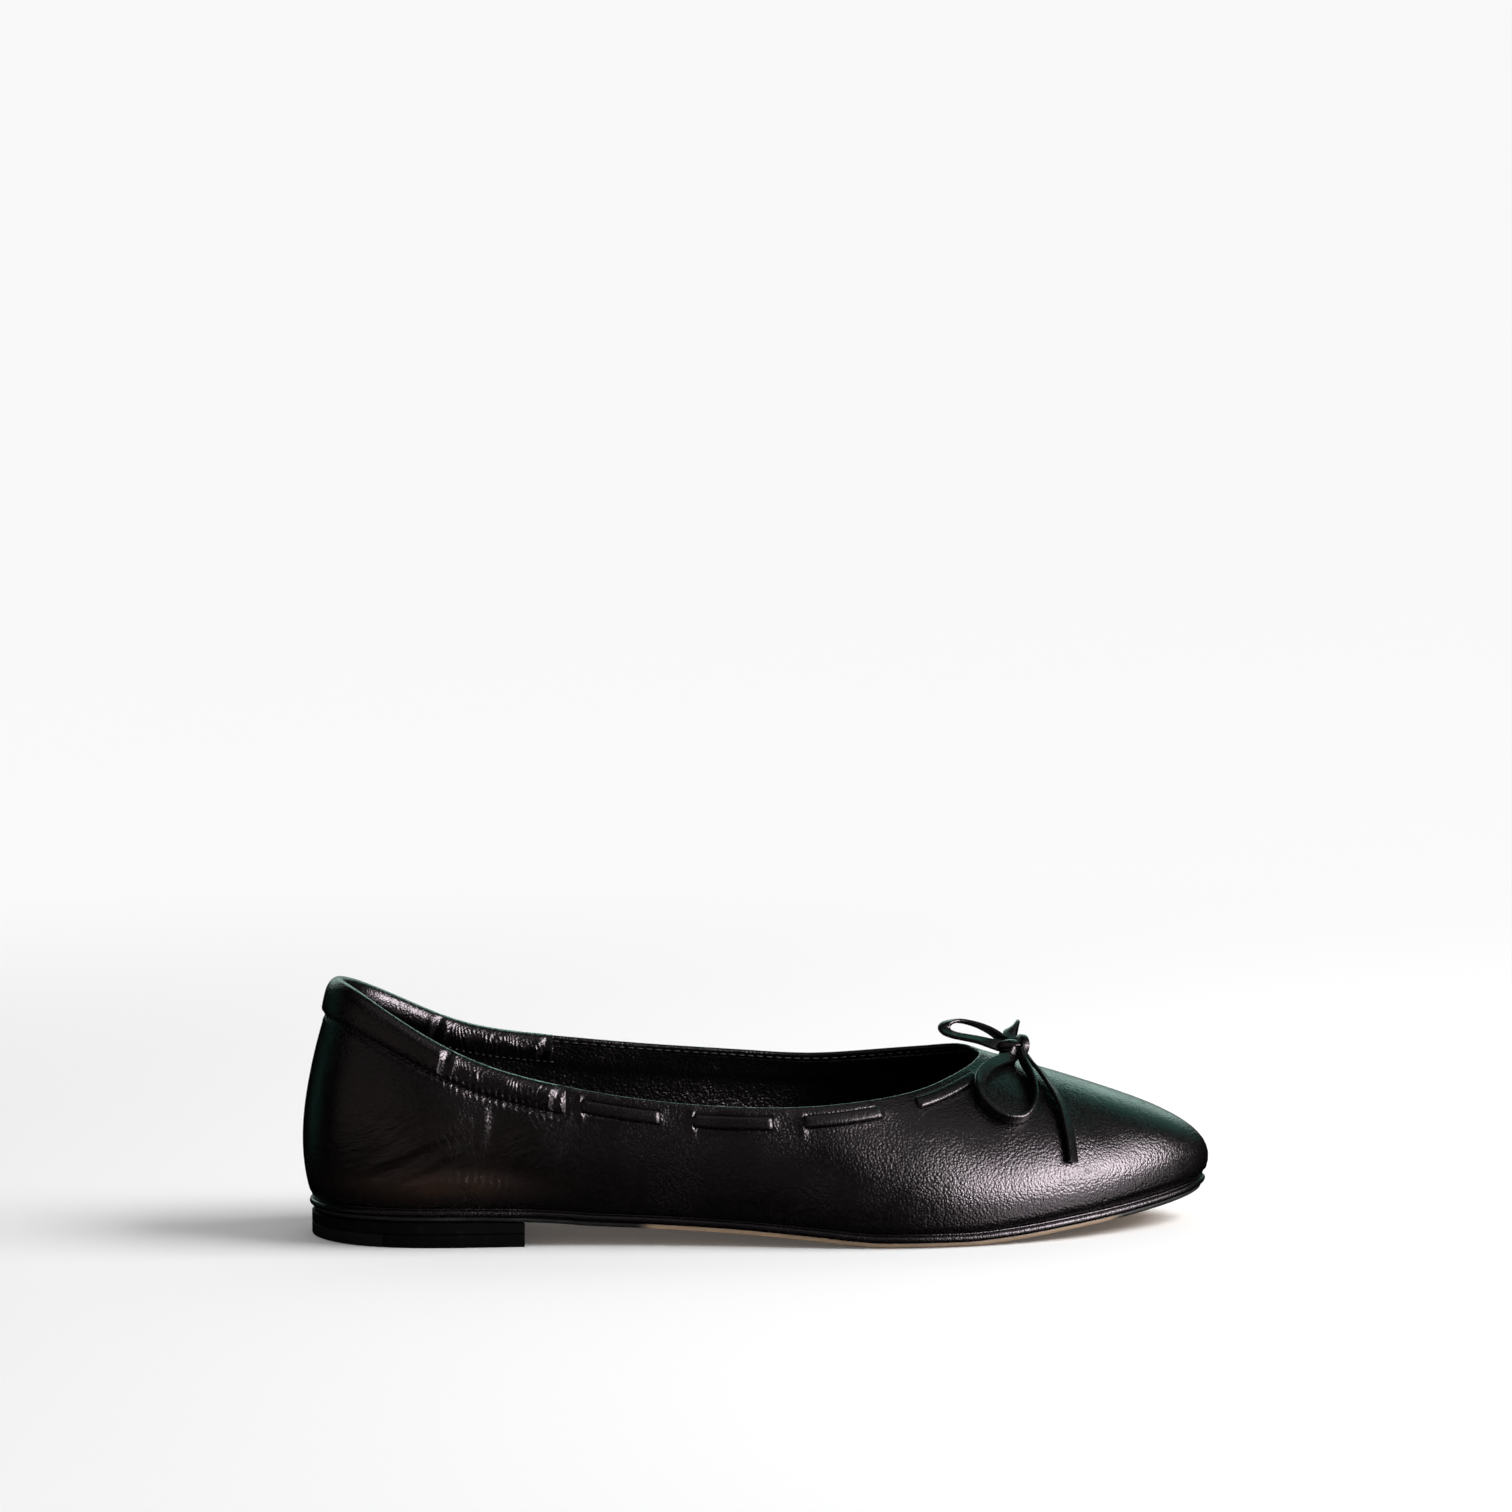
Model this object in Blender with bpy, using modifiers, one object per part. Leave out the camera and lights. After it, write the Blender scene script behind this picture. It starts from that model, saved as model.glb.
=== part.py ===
"""A woman's ballet flat for the right foot, as the pieces that a shoemaker puts together.

Metres, +Z up, +X to the toe, +Y to the inner side. The origin is on the floor under the middle of the shoe.
"""

import math
from typing import NamedTuple

import bmesh
import bpy
import numpy as np
from mathutils import Vector
from mathutils.bvhtree import BVHTree

# The last
SOLE_LENGTH = 0.249
BALL_WIDTH = 0.077
BACK_HEIGHT = 0.0708
HEEL_HEIGHT = 0.0067
TOE_SPRING = 0.0089
MIDDLE = 0.5

# Leathers and clearances
FIT_GAP = 0.0003
UPPER_WALL = 0.0014
LASTED_MARGIN = 0.0075
FEATHER_RADIUS = 0.0018
MIDSOLE_THICKNESS = 0.0024
MIDSOLE_REACH = 0.0004
OUTSOLE_THICKNESS = 0.0012
OUTSOLE_INSET = 0.0008
OUTSOLE_BEVEL = 0.0012
INSOLE_THICKNESS = 0.002
INSOLE_CLEARANCE = 0.0009

# Heel
HEEL_LENGTH = 0.0584
HEEL_INSET = 0.0002
TOP_PIECE_THICKNESS = 0.0036
TIP_LENGTH = 0.0198

# Collar casing that holds the elastic
CASING_LEATHER = 0.001
CASING_PUFF = 0.0004
CASING_DEPTH_BACK = 0.0105
CASING_DEPTH_END = 0.0078
CASING_END_FROM_BACK = 0.0696

# Drawstring lace and bow
LACE_WIDTH = 0.0034
LACE_THICKNESS = 0.0011
LACE_DEPTH = 0.0046
LACE_BEND = 0.0009
SLIT_CLEARANCE = 0.0004
LACE_TAIL_IN = 0.0019
KNOT_DEPTH = 0.0086
EXIT_FROM_THROAT = 0.0028
KNOT_RADII = (0.0031, 0.0033, 0.0026)
KNOT_LIFT = 0.0038

# How finely the forms are cut into faces
COLUMNS = 100
RIB_SAMPLES = 61
PLATE_STATIONS = 36
CASING_STATIONS = 44


class Rib(NamedTuple):
    """One section of the last, from the feather line up to the topline. Lengths are shares, leans are degrees."""

    foot_along: float  # of SOLE_LENGTH, from the back
    foot_across: float  # of BALL_WIDTH, towards the inner side
    top_along: float
    top_across: float
    top_height: float  # of BACK_HEIGHT
    lean_low: float  # outward, at the feather line
    full_low: float  # handle, of the rib's span
    lean_top: float  # inward, at the topline
    full_top: float


RIBS = (
    Rib(0.006, 0.013, 0.0365, 0.013, 1.000, 17, 0.30, 21, 0.35),  # back seam
    Rib(0.035, -0.208, 0.058, -0.169, 0.970, 17, 0.30, 20, 0.35),
    Rib(0.104, -0.325, 0.110, -0.266, 0.855, 17, 0.30, 17, 0.35),
    Rib(0.188, -0.345, 0.184, -0.312, 0.718, 17, 0.30, 14, 0.35),
    Rib(0.273, -0.348, 0.269, -0.331, 0.629, 15, 0.32, 12, 0.35),
    Rib(0.382, -0.377, 0.382, -0.357, 0.562, 13, 0.33, 15, 0.36),
    Rib(0.495, -0.435, 0.495, -0.383, 0.537, 14, 0.33, 25, 0.38),
    Rib(0.596, -0.494, 0.583, -0.364, 0.545, 14, 0.33, 38, 0.40),
    Rib(0.684, -0.506, 0.656, -0.292, 0.571, 14, 0.32, 50, 0.42),  # outer ball
    Rib(0.769, -0.461, 0.700, -0.201, 0.607, 16, 0.30, 58, 0.46),
    Rib(0.850, -0.372, 0.727, -0.117, 0.638, 19, 0.28, 65, 0.52),
    Rib(0.930, -0.225, 0.741, -0.045, 0.658, 24, 0.26, 70, 0.57),
    Rib(1.000, 0.032, 0.748, 0.032, 0.672, 27, 0.24, 73, 0.60),  # toe tip
    Rib(0.930, 0.272, 0.7415, 0.104, 0.678, 24, 0.26, 71, 0.57),
    Rib(0.850, 0.408, 0.727, 0.175, 0.681, 19, 0.28, 66, 0.52),
    Rib(0.769, 0.484, 0.696, 0.244, 0.664, 16, 0.30, 58, 0.46),
    Rib(0.684, 0.494, 0.648, 0.305, 0.644, 15, 0.32, 46, 0.42),  # inner ball
    Rib(0.592, 0.422, 0.575, 0.348, 0.624, 18, 0.33, 32, 0.40),
    Rib(0.495, 0.344, 0.495, 0.351, 0.639, 22, 0.33, 20, 0.38),
    Rib(0.382, 0.321, 0.382, 0.338, 0.672, 22, 0.33, 14, 0.36),
    Rib(0.273, 0.348, 0.269, 0.331, 0.714, 18, 0.32, 12, 0.35),
    Rib(0.188, 0.368, 0.184, 0.318, 0.766, 18, 0.30, 14, 0.35),
    Rib(0.104, 0.344, 0.110, 0.279, 0.876, 17, 0.30, 17, 0.35),
    Rib(0.035, 0.234, 0.058, 0.188, 0.965, 17, 0.30, 20, 0.35),
)
TOE_RIB = 12


class SoleStep(NamedTuple):
    """Height of the outsole's underside at a place along the shoe."""

    along: float  # of SOLE_LENGTH
    of_heel: float  # of HEEL_HEIGHT
    of_spring: float  # of TOE_SPRING


SOLE_PROFILE = (
    SoleStep(0.000, 1.00, 0.00),
    SoleStep(0.090, 1.05, 0.00),
    SoleStep(0.150, 1.05, 0.00),
    SoleStep(0.232, 0.98, 0.00),  # heel breast
    SoleStep(0.272, 0.90, 0.00),
    SoleStep(0.305, 0.80, 0.00),
    SoleStep(0.385, 0.67, 0.00),
    SoleStep(0.466, 0.50, 0.00),
    SoleStep(0.555, 0.22, 0.00),
    SoleStep(0.595, 0.07, 0.00),
    SoleStep(0.625, 0.00, 0.00),  # on the floor from here
    SoleStep(0.712, 0.00, 0.00),  # to here
    SoleStep(0.756, 0.00, 0.07),
    SoleStep(0.837, 0.00, 0.31),
    SoleStep(0.925, 0.00, 0.60),
    SoleStep(0.978, 0.00, 0.84),
    SoleStep(1.000, 0.00, 1.00),
)


class Bar(NamedTuple):
    """One stretch of the lace that shows outside, in shares of the run from the throat's middle to the casing."""

    start: float
    length: float


BARS = (
    Bar(0.127, 0.161),
    Bar(0.372, 0.153),
    Bar(0.592, 0.150),
    Bar(0.815, 0.150),
)


def unit(vectors):
    """The same vectors, each one long."""
    vectors = np.asarray(vectors, float)
    return vectors / np.linalg.norm(vectors, axis=-1, keepdims=True)


def smooth(share):
    """A soft step from 0 to 1."""
    share = np.clip(share, 0.0, 1.0)
    return share * share * (3 - 2 * share)


def x_at(along):
    """The place along the shoe of a share of its length."""
    return (np.asarray(along, float) - MIDDLE) * SOLE_LENGTH


class ClosedSpline:
    """A smooth closed line through rows of numbers, by cubic pieces."""

    def __init__(self, knots, rows):
        self.knots = np.asarray(knots, float)
        self.rows = np.asarray(rows, float)
        count = len(rows)
        spans = np.diff(self.knots)
        matrix = np.zeros((count, count))
        right = np.zeros_like(self.rows)
        for i in range(count):
            before, after = spans[i - 1], spans[i]
            matrix[i, i - 1] += before
            matrix[i, i] += 2 * (before + after)
            matrix[i, (i + 1) % count] += after
            step_after = (self.rows[(i + 1) % count] - self.rows[i]) / after
            step_before = (self.rows[i] - self.rows[i - 1]) / before
            right[i] = 6 * (step_after - step_before)
        self.bends = np.linalg.solve(matrix, right)

    def __call__(self, at):
        at = np.mod(np.asarray(at, float), 1.0)
        i = np.clip(np.searchsorted(self.knots, at, side="right") - 1, 0, len(self.rows) - 1)
        j = (i + 1) % len(self.rows)
        span = (self.knots[i + 1] - self.knots[i])[..., None]
        b = (at - self.knots[i])[..., None] / span
        a = 1 - b
        curve = (a**3 - a) * self.bends[i] + (b**3 - b) * self.bends[j]
        return a * self.rows[i] + b * self.rows[j] + curve * span**2 / 6


def under_height(x):
    """Height of the outsole's underside over the floor, without overshoot between the rows."""
    at = x_at([step.along for step in SOLE_PROFILE])
    lift = np.array([s.of_heel * HEEL_HEIGHT + s.of_spring * TOE_SPRING for s in SOLE_PROFILE])
    slopes = np.diff(lift) / np.diff(at)
    before, after = slopes[:-1], slopes[1:]
    same_way = before * after > 0
    middle = np.where(same_way, 2 * before * after / np.where(same_way, before + after, 1), 0)
    tangents = np.concatenate([[slopes[0]], middle, [slopes[-1]]])
    x = np.clip(x, at[0], at[-1])
    i = np.clip(np.searchsorted(at, x, side="right") - 1, 0, len(at) - 2)
    span = at[i + 1] - at[i]
    t = (x - at[i]) / span
    ends = (1 + 2 * t) * (1 - t) ** 2 * lift[i] + t * t * (3 - 2 * t) * lift[i + 1]
    return ends + (t * (1 - t) ** 2 * tangents[i] - t * t * (1 - t) * tangents[i + 1]) * span


def feather_height(x):
    """Height of the line where the upper meets the sole."""
    return under_height(x) + OUTSOLE_THICKNESS + MIDSOLE_THICKNESS


def rib_places():
    """Where each rib stands round the sole, as a share of the way round from the back seam."""
    foot = np.array([(x_at(r.foot_along), r.foot_across * BALL_WIDTH) for r in RIBS])
    steps = np.linalg.norm(np.roll(foot, -1, axis=0) - foot, axis=1)
    return np.concatenate([[0], np.cumsum(steps)]) / steps.sum()


RIB_PLACES = rib_places()
LAST = ClosedSpline(RIB_PLACES, RIBS)
THROAT = RIB_PLACES[TOE_RIB]


def foot_line(at):
    """Points of the feather line in plan."""
    row = LAST(at)
    return np.stack([x_at(row[..., 0]), row[..., 1] * BALL_WIDTH], -1)


def outward(line, at):
    """The outward direction in plan of a closed line that runs from the back to the toe by the outer side."""
    step = 1e-4
    along = unit(line(at + step) - line(at - step))
    return np.stack([along[..., 1], -along[..., 0]], -1)


def topline(at):
    """Points of the finished topline."""
    row = LAST(at)
    return np.stack([x_at(row[..., 2]), row[..., 3] * BALL_WIDTH, row[..., 4] * BACK_HEIGHT], -1)


def ribs(at, shares):
    """Points on the upper's outside: one rib for each place, one point for each share of its curve."""
    at = np.asarray(at, float)
    row = LAST(at)
    plan = foot_line(at)
    foot = np.concatenate([plan, (feather_height(plan[..., 0]) + FIT_GAP)[..., None]], -1)
    top = topline(at)
    out_low = np.concatenate([outward(foot_line, at), np.zeros(at.shape + (1,))], -1)
    out_top = np.concatenate([outward(lambda a: topline(a)[..., :2], at), np.zeros(at.shape + (1,))], -1)
    up = np.array([0.0, 0.0, 1.0])
    span = np.linalg.norm(top - foot, axis=-1, keepdims=True)
    low, high = np.radians(row[..., 5:6]), np.radians(row[..., 7:8])
    low_handle = foot + span * row[..., 6:7] * (np.cos(low) * up + np.sin(low) * out_low)
    top_handle = top - span * row[..., 8:9] * (np.cos(high) * up - np.sin(high) * out_top)
    t = np.asarray(shares, float)[:, None, None]
    return (
        (1 - t) ** 3 * foot + 3 * t * (1 - t) ** 2 * low_handle + 3 * t * t * (1 - t) * top_handle + t**3 * top
    ).swapaxes(0, 1)


def at_depth(at, depth):
    """Points on the upper's outside, so far below the topline along each rib, and the ribs' direction there."""
    at, depth = np.broadcast_arrays(np.asarray(at, float), np.asarray(depth, float))
    points, downs = [], []
    fine = ribs(at.ravel(), np.linspace(0, 1, RIB_SAMPLES))[:, ::-1]
    for line, deep in zip(fine, depth.ravel()):
        gone = np.concatenate([[0], np.cumsum(np.linalg.norm(np.diff(line, axis=0), axis=1))])
        place = [np.interp(deep, gone, line[:, k]) for k in range(3)]
        ahead = [np.interp(deep + 0.0005, gone, line[:, k]) for k in range(3)]
        behind = [np.interp(max(deep - 0.0005, 0), gone, line[:, k]) for k in range(3)]
        points.append(place)
        downs.append(unit(np.subtract(ahead, behind)))
    return np.reshape(points, at.shape + (3,)), np.reshape(downs, at.shape + (3,))


def skin(at, depth, lift):
    """Points so far off the upper's outside, with the direction down the rib and the outward normal."""
    step = 5e-4
    at = np.asarray(at, float)
    place, down = at_depth(at, depth)
    ahead, _ = at_depth(at + step, depth)
    behind, _ = at_depth(at - step, depth)
    normal = unit(np.cross(ahead - behind, -down))
    return place + np.asarray(lift, float)[..., None] * normal, down, normal


def put_in(name, mesh, collection):
    """A new object of that mesh in a collection."""
    made = bpy.data.objects.new(name, mesh)
    collection.objects.link(made)
    return made


def mesh_from(name, rings, closed_along=False, caps=False):
    """A mesh through rings of points, each ring closed, joined one to the next."""
    rings = np.asarray(rings, float)
    count, around = rings.shape[:2]
    body = bmesh.new()
    grid = [[body.verts.new(point) for point in ring] for ring in rings]
    for i in range(count if closed_along else count - 1):
        ahead = grid[(i + 1) % count]
        for j in range(around):
            k = (j + 1) % around
            body.faces.new((grid[i][j], grid[i][k], ahead[k], ahead[j]))
    if caps:
        body.faces.new(grid[0][::-1])
        body.faces.new(grid[-1])
    bmesh.ops.remove_doubles(body, verts=body.verts, dist=1e-6)
    bmesh.ops.recalc_face_normals(body, faces=body.faces)
    mesh = bpy.data.meshes.new(name)
    body.to_mesh(mesh)
    body.free()
    mesh.shade_smooth()
    mesh.set_sharp_from_angle(angle=math.radians(40))
    return mesh


def material(name, colour, roughness):
    """A plain leather, rubber or board finish."""
    made = bpy.data.materials.new(name)
    made.use_nodes = True
    shader = made.node_tree.nodes["Principled BSDF"]
    shader.inputs["Base Color"].default_value = (*colour, 1)
    shader.inputs["Roughness"].default_value = roughness
    shader.inputs["Metallic"].default_value = 0
    return made


def clear_scene():
    """Empties the file that the script runs in."""
    for obj in list(bpy.data.objects):
        bpy.data.objects.remove(obj)


def casing_cover(at):
    """1 under the collar casing and 0 away from its ends, round the topline."""
    x = topline(at)[..., 0]
    return (x < casing_end_x()).astype(float)


def casing_end_x():
    """Where the casing ends, on both sides."""
    return x_at(0) + CASING_END_FROM_BACK


def top_trim(at):
    """How far below the finished topline the upper's own edge stops: the casing's fold goes over it."""
    x = topline(at)[..., 0]
    covered = smooth((casing_end_x() + 0.004 - x) / 0.003)
    return covered * (CASING_LEATHER + 2 * FIT_GAP)


def upper_shell():
    """The upper's outer face as an open surface, from the lasted margin up to its own top edge."""
    at = np.arange(COLUMNS) / COLUMNS
    rings = []
    for inset, lift in ((LASTED_MARGIN, 0.0), (FEATHER_RADIUS, 0.0), (FEATHER_RADIUS * 0.3, FEATHER_RADIUS * 0.3)):
        flat = foot_line(at) - outward(foot_line, at) * inset
        rings.append(np.column_stack([flat, feather_height(flat[:, 0]) + FIT_GAP + lift]))
    fine = ribs(at, np.linspace(0, 1, RIB_SAMPLES))
    shares = (0.0, 0.08, 0.18, 0.31, 0.45, 0.60, 0.75, 0.89, 1.0)
    trims = top_trim(at)
    rows = np.empty((len(shares), COLUMNS, 3))
    for column, line in enumerate(fine):
        gone = np.concatenate([[0], np.cumsum(np.linalg.norm(np.diff(line, axis=0), axis=1))])
        stops = FEATHER_RADIUS + np.array(shares) * (gone[-1] - trims[column] - FEATHER_RADIUS)
        rows[:, column] = np.stack([np.interp(stops, gone, line[:, k]) for k in range(3)], -1)
    rings.extend(rows)
    return np.array(rings)


def upper(collection, cutters):
    """One hollow leather wall, open at the collar and underneath, with the slits for the lace."""
    made = put_in("upper", mesh_from("upper", upper_shell()), collection)
    if not faces_out(made.data):
        made.data.flip_normals()
    wall = made.modifiers.new("wall", "SOLIDIFY")
    wall.thickness = UPPER_WALL
    wall.offset = -1
    wall.use_even_offset = True
    wall.use_rim = True
    slits = made.modifiers.new("slits", "BOOLEAN")
    slits.operation = "DIFFERENCE"
    slits.operand_type = "COLLECTION"
    slits.collection = cutters
    slits.solver = "EXACT"
    return made


def faces_out(mesh):
    """Whether an open shell round the origin faces away from its middle."""
    middle = Vector((0, 0, BACK_HEIGHT / 2))
    return sum((p.center - middle).dot(p.normal) * p.area for p in mesh.polygons) > 0


def paired_stations(first, last, count, round_back, round_toe):
    """Places round the feather line in pairs, outer and inner, at the same distances along the shoe."""
    fine = np.linspace(0, 1, 2401)
    x = foot_line(fine)[:, 0]
    toe = int(np.argmax(x))
    back = int(np.argmin(np.concatenate([x[:400], x[-400:]])))
    first, last = max(first, x.min()), min(last, x.max())
    turn = np.linspace(0, math.pi, count)
    if round_back and round_toe:
        share = (1 - np.cos(turn)) / 2
    elif round_back:
        share = 1 - np.cos(turn / 2)
    else:
        share = turn / math.pi
    reach = first + (last - first) * share
    start = fine[back] if back < 400 else fine[len(x) - 800 + back] - 1
    outer_at = np.interp(reach, x[:toe + 1], fine[:toe + 1])
    inner_at = np.interp(reach, x[toe:][::-1], fine[toe:][::-1])
    if round_back:
        outer_at[0], inner_at[0] = start, start + 1
    return outer_at, inner_at


def plate(name, collection, first, last, levels, round_back=True, round_toe=True, count=PLATE_STATIONS):
    """A flat piece with the last's outline, between two places along the shoe.

    Each level is (inset, height function of x), from the underside up to the top face.
    """
    outer_at, inner_at = paired_stations(first, last, count, round_back, round_toe)
    rings = []
    for inset, height in levels:
        sides = []
        for at in (outer_at, inner_at):
            flat = foot_line(at) - outward(foot_line, at) * inset
            sides.append(np.column_stack([flat, height(flat[:, 0])]))
        rings.append(np.concatenate([sides[0], sides[1][::-1]]))
    body = bmesh.new()
    grid = [[body.verts.new(point) for point in ring] for ring in rings]
    around = 2 * count
    for low, high in zip(grid, grid[1:]):
        for j in range(around):
            k = (j + 1) % around
            body.faces.new((low[j], low[k], high[k], high[j]))
    for ring in (grid[0], grid[-1]):
        for j in range(count - 1):
            body.faces.new((ring[j], ring[j + 1], ring[around - 2 - j], ring[around - 1 - j]))
    bmesh.ops.remove_doubles(body, verts=body.verts, dist=1e-6)
    bmesh.ops.dissolve_degenerate(body, edges=body.edges, dist=1e-7)
    bmesh.ops.recalc_face_normals(body, faces=body.faces)
    mesh = bpy.data.meshes.new(name)
    body.to_mesh(mesh)
    body.free()
    mesh.shade_smooth()
    mesh.set_sharp_from_angle(angle=math.radians(35))
    return put_in(name, mesh, collection)


def over_sole(lift):
    """A height function: so far above the outsole's underside."""
    return lambda x: under_height(x) + lift


def midsole(collection):
    """The leather-covered midsole with its round edge."""
    low, thick = OUTSOLE_THICKNESS, MIDSOLE_THICKNESS - FIT_GAP
    radius = thick / 2
    levels = []
    for turn in np.radians([-90, -60, -30, 0, 30, 60, 90]):
        inset = radius * (1 - math.cos(turn)) - MIDSOLE_REACH
        levels.append((inset, over_sole(low + FIT_GAP + radius * (1 + math.sin(turn)))))
    return plate("midsole", collection, x_at(0), x_at(1), levels)


def outsole(collection):
    """The thin leather outsole, with its lower edge bevelled."""
    inset = OUTSOLE_INSET
    levels = (
        (inset + OUTSOLE_BEVEL, over_sole(0)),
        (inset, over_sole(OUTSOLE_THICKNESS * 0.45)),
        (inset, over_sole(OUTSOLE_THICKNESS)),
    )
    return plate("outsole", collection, x_at(0), x_at(1), levels)


def insole(collection):
    """The sock that lies on the lasted margin inside."""
    low = OUTSOLE_THICKNESS + MIDSOLE_THICKNESS + UPPER_WALL + 2 * FIT_GAP
    inset = UPPER_WALL + INSOLE_CLEARANCE
    soft = INSOLE_THICKNESS * 0.3
    levels = (
        (inset, over_sole(low)),
        (inset, over_sole(low + INSOLE_THICKNESS - soft)),
        (inset + soft, over_sole(low + INSOLE_THICKNESS)),
    )
    return plate("insole", collection, x_at(0), x_at(1), levels)


def heel_pieces(collection):
    """The stacked lift and the two halves of the top piece, flat on the floor."""
    breast = x_at(0) + HEEL_LENGTH
    tip_end = x_at(0) + TIP_LENGTH
    inset = HEEL_INSET
    lift = plate(
        "heel_lift",
        collection,
        x_at(0),
        breast,
        (
            (inset, lambda x: np.full_like(x, TOP_PIECE_THICKNESS + FIT_GAP)),
            (inset, over_sole(-FIT_GAP)),
        ),
        round_toe=False,
        count=22,
    )
    flat = (
        (inset + OUTSOLE_BEVEL * 0.25, np.zeros_like),
        (inset, lambda x: np.full_like(x, OUTSOLE_BEVEL * 0.4)),
        (inset, lambda x: np.full_like(x, TOP_PIECE_THICKNESS)),
    )
    tip = plate("heel_tip", collection, x_at(0), tip_end, flat, round_toe=False, count=14)
    front = plate(
        "heel_top_piece", collection, tip_end + FIT_GAP, breast, flat, round_back=False, round_toe=False, count=8
    )
    return lift, tip, front


def casing_places():
    """Places round the topline from the casing's outer end, past the back seam, to its inner end."""
    fine = np.linspace(-0.4, 0.4, 1601)
    covered = fine[casing_cover(fine) > 0]
    return np.linspace(covered[0], covered[-1], CASING_STATIONS)


def casing_depth(at):
    """How far the casing comes down from the topline: deep at the back, shallow at its ends."""
    x = topline(at)[..., 0]
    share = smooth((x - x_at(0)) / CASING_END_FROM_BACK)
    return CASING_DEPTH_BACK + (CASING_DEPTH_END - CASING_DEPTH_BACK) * share


def casing_section(deep):
    """The casing's section as (depth, lift) pairs: a strip folded over the upper's edge, padded by the elastic."""
    out = FIT_GAP + CASING_LEATHER
    back = -UPPER_WALL - FIT_GAP
    channel = CASING_LEATHER + FIT_GAP
    return (
        (deep, FIT_GAP),
        (deep, out * 0.8),
        (deep * 0.88, out + CASING_PUFF * 0.5),
        (deep * 0.60, out + CASING_PUFF),
        (deep * 0.32, out + CASING_PUFF * 0.8),
        (deep * 0.12, out),
        (0.0, out * 0.3),
        (0.0, back + FIT_GAP - CASING_LEATHER * 0.2),
        (deep * 0.12, back - CASING_LEATHER),
        (deep * 0.32, back - CASING_LEATHER - CASING_PUFF * 0.8),
        (deep * 0.60, back - CASING_LEATHER - CASING_PUFF),
        (deep * 0.88, back - CASING_LEATHER - CASING_PUFF * 0.5),
        (deep, back - CASING_LEATHER * 0.8),
        (deep, back),
        (channel, back),
        (channel, FIT_GAP),
    )


def collar_casing(collection):
    """The folded collar that holds the elastic round the heel."""
    rings = []
    for at in casing_places():
        section = np.array(casing_section(casing_depth(at)))
        points, _, _ = skin(np.full(len(section), at), section[:, 0], section[:, 1])
        rings.append(points)
    return put_in("collar_casing", mesh_from("collar_casing", rings, caps=True), collection)


class LaceLine:
    """The line that the lace follows on one side, measured from the middle of the throat."""

    def __init__(self, side):
        self.at = THROAT + side * np.linspace(0, 0.42, 601)
        line, _, _ = skin(self.at, np.full(601, LACE_DEPTH), np.zeros(601))
        self.gone = np.concatenate([[0], np.cumsum(np.linalg.norm(np.diff(line, axis=0), axis=1))])
        self.run = np.interp(-casing_end_x(), -topline(self.at)[:, 0], self.gone)

    def place(self, distance, lift):
        """Points along the line, with the directions down the rib and outward."""
        distance, lift = np.asarray(distance, float), np.asarray(lift, float)
        at = np.interp(distance, self.gone, self.at)
        first = BARS[0].start * self.run
        near = smooth((first - distance) / (first - EXIT_FROM_THROAT))
        return skin(at, LACE_DEPTH + (KNOT_DEPTH - LACE_DEPTH) * near, lift)


def slit_places(run):
    """The distances from the throat at which the lace goes through the wall, in order."""
    ends = [share * run for bar in BARS for share in (bar.start, bar.start + bar.length)]
    return [EXIT_FROM_THROAT, *ends]


def lace_route(places):
    """(distance, lift) pairs from the knot to the casing: outside for each bar, inside between them."""
    outer = FIT_GAP + LACE_THICKNESS / 2
    inner = -UPPER_WALL - FIT_GAP - LACE_THICKNESS / 2
    route = [(EXIT_FROM_THROAT - LACE_WIDTH * 0.5, outer)]
    here, there = outer, inner
    for number, end in enumerate(places):
        way = math.copysign(LACE_BEND, there - here)
        for turn in np.radians([0, 45, 90]):
            route.append((end - LACE_BEND * (1 - math.sin(turn)), here + way * (1 - math.cos(turn))))
        for turn in np.radians([0, 45, 90]):
            route.append((end + LACE_BEND * (1 - math.cos(turn)), there - way * (1 - math.sin(turn))))
        if number + 1 < len(places):
            steps = 7 if there == outer else 4
            route.extend((step, there) for step in np.linspace(end, places[number + 1], steps)[1:-1])
        here, there = there, here
    route.append((places[-1] + LACE_TAIL_IN, here))
    return route


def ribbon(centres, across, width, thickness):
    """Rings of a flat strip along a line, with its width set across the line at each point."""
    centres = np.asarray(centres, float)
    along = unit(np.gradient(centres, axis=0))
    flat = unit(across - along * (across * along).sum(1, keepdims=True))
    up = np.cross(along, flat)
    corners = ((-1, -1), (1, -1), (1, 1), (-1, 1))
    return np.stack([centres + flat * (a * width / 2) + up * (b * thickness / 2) for a, b in corners], 1)


def lace(name, side, collection, cutters):
    """The drawstring of one side, in and out of its slits, with the cutters of those slits."""
    line = LaceLine(side)
    places = slit_places(line.run)
    route = np.array(lace_route(places))
    centres, down, _ = line.place(route[:, 0], route[:, 1])
    rings = ribbon(centres, down, LACE_WIDTH, LACE_THICKNESS)
    made = put_in(name, mesh_from(name, rings, caps=True), collection)
    for number, end in enumerate(places):
        lifts = np.array([UPPER_WALL, -2 * UPPER_WALL])
        centres, down, _ = line.place(np.full(2, end), lifts)
        size = LACE_WIDTH + 2 * SLIT_CLEARANCE, LACE_THICKNESS + 2 * SLIT_CLEARANCE
        slit = mesh_from(f"{name}_slit_{number}", ribbon(centres, down, *size), caps=True)
        cutter = put_in(slit.name, slit, cutters)
        cutter.hide_render = True
        cutter.display_type = "WIRE"
    return made


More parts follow.
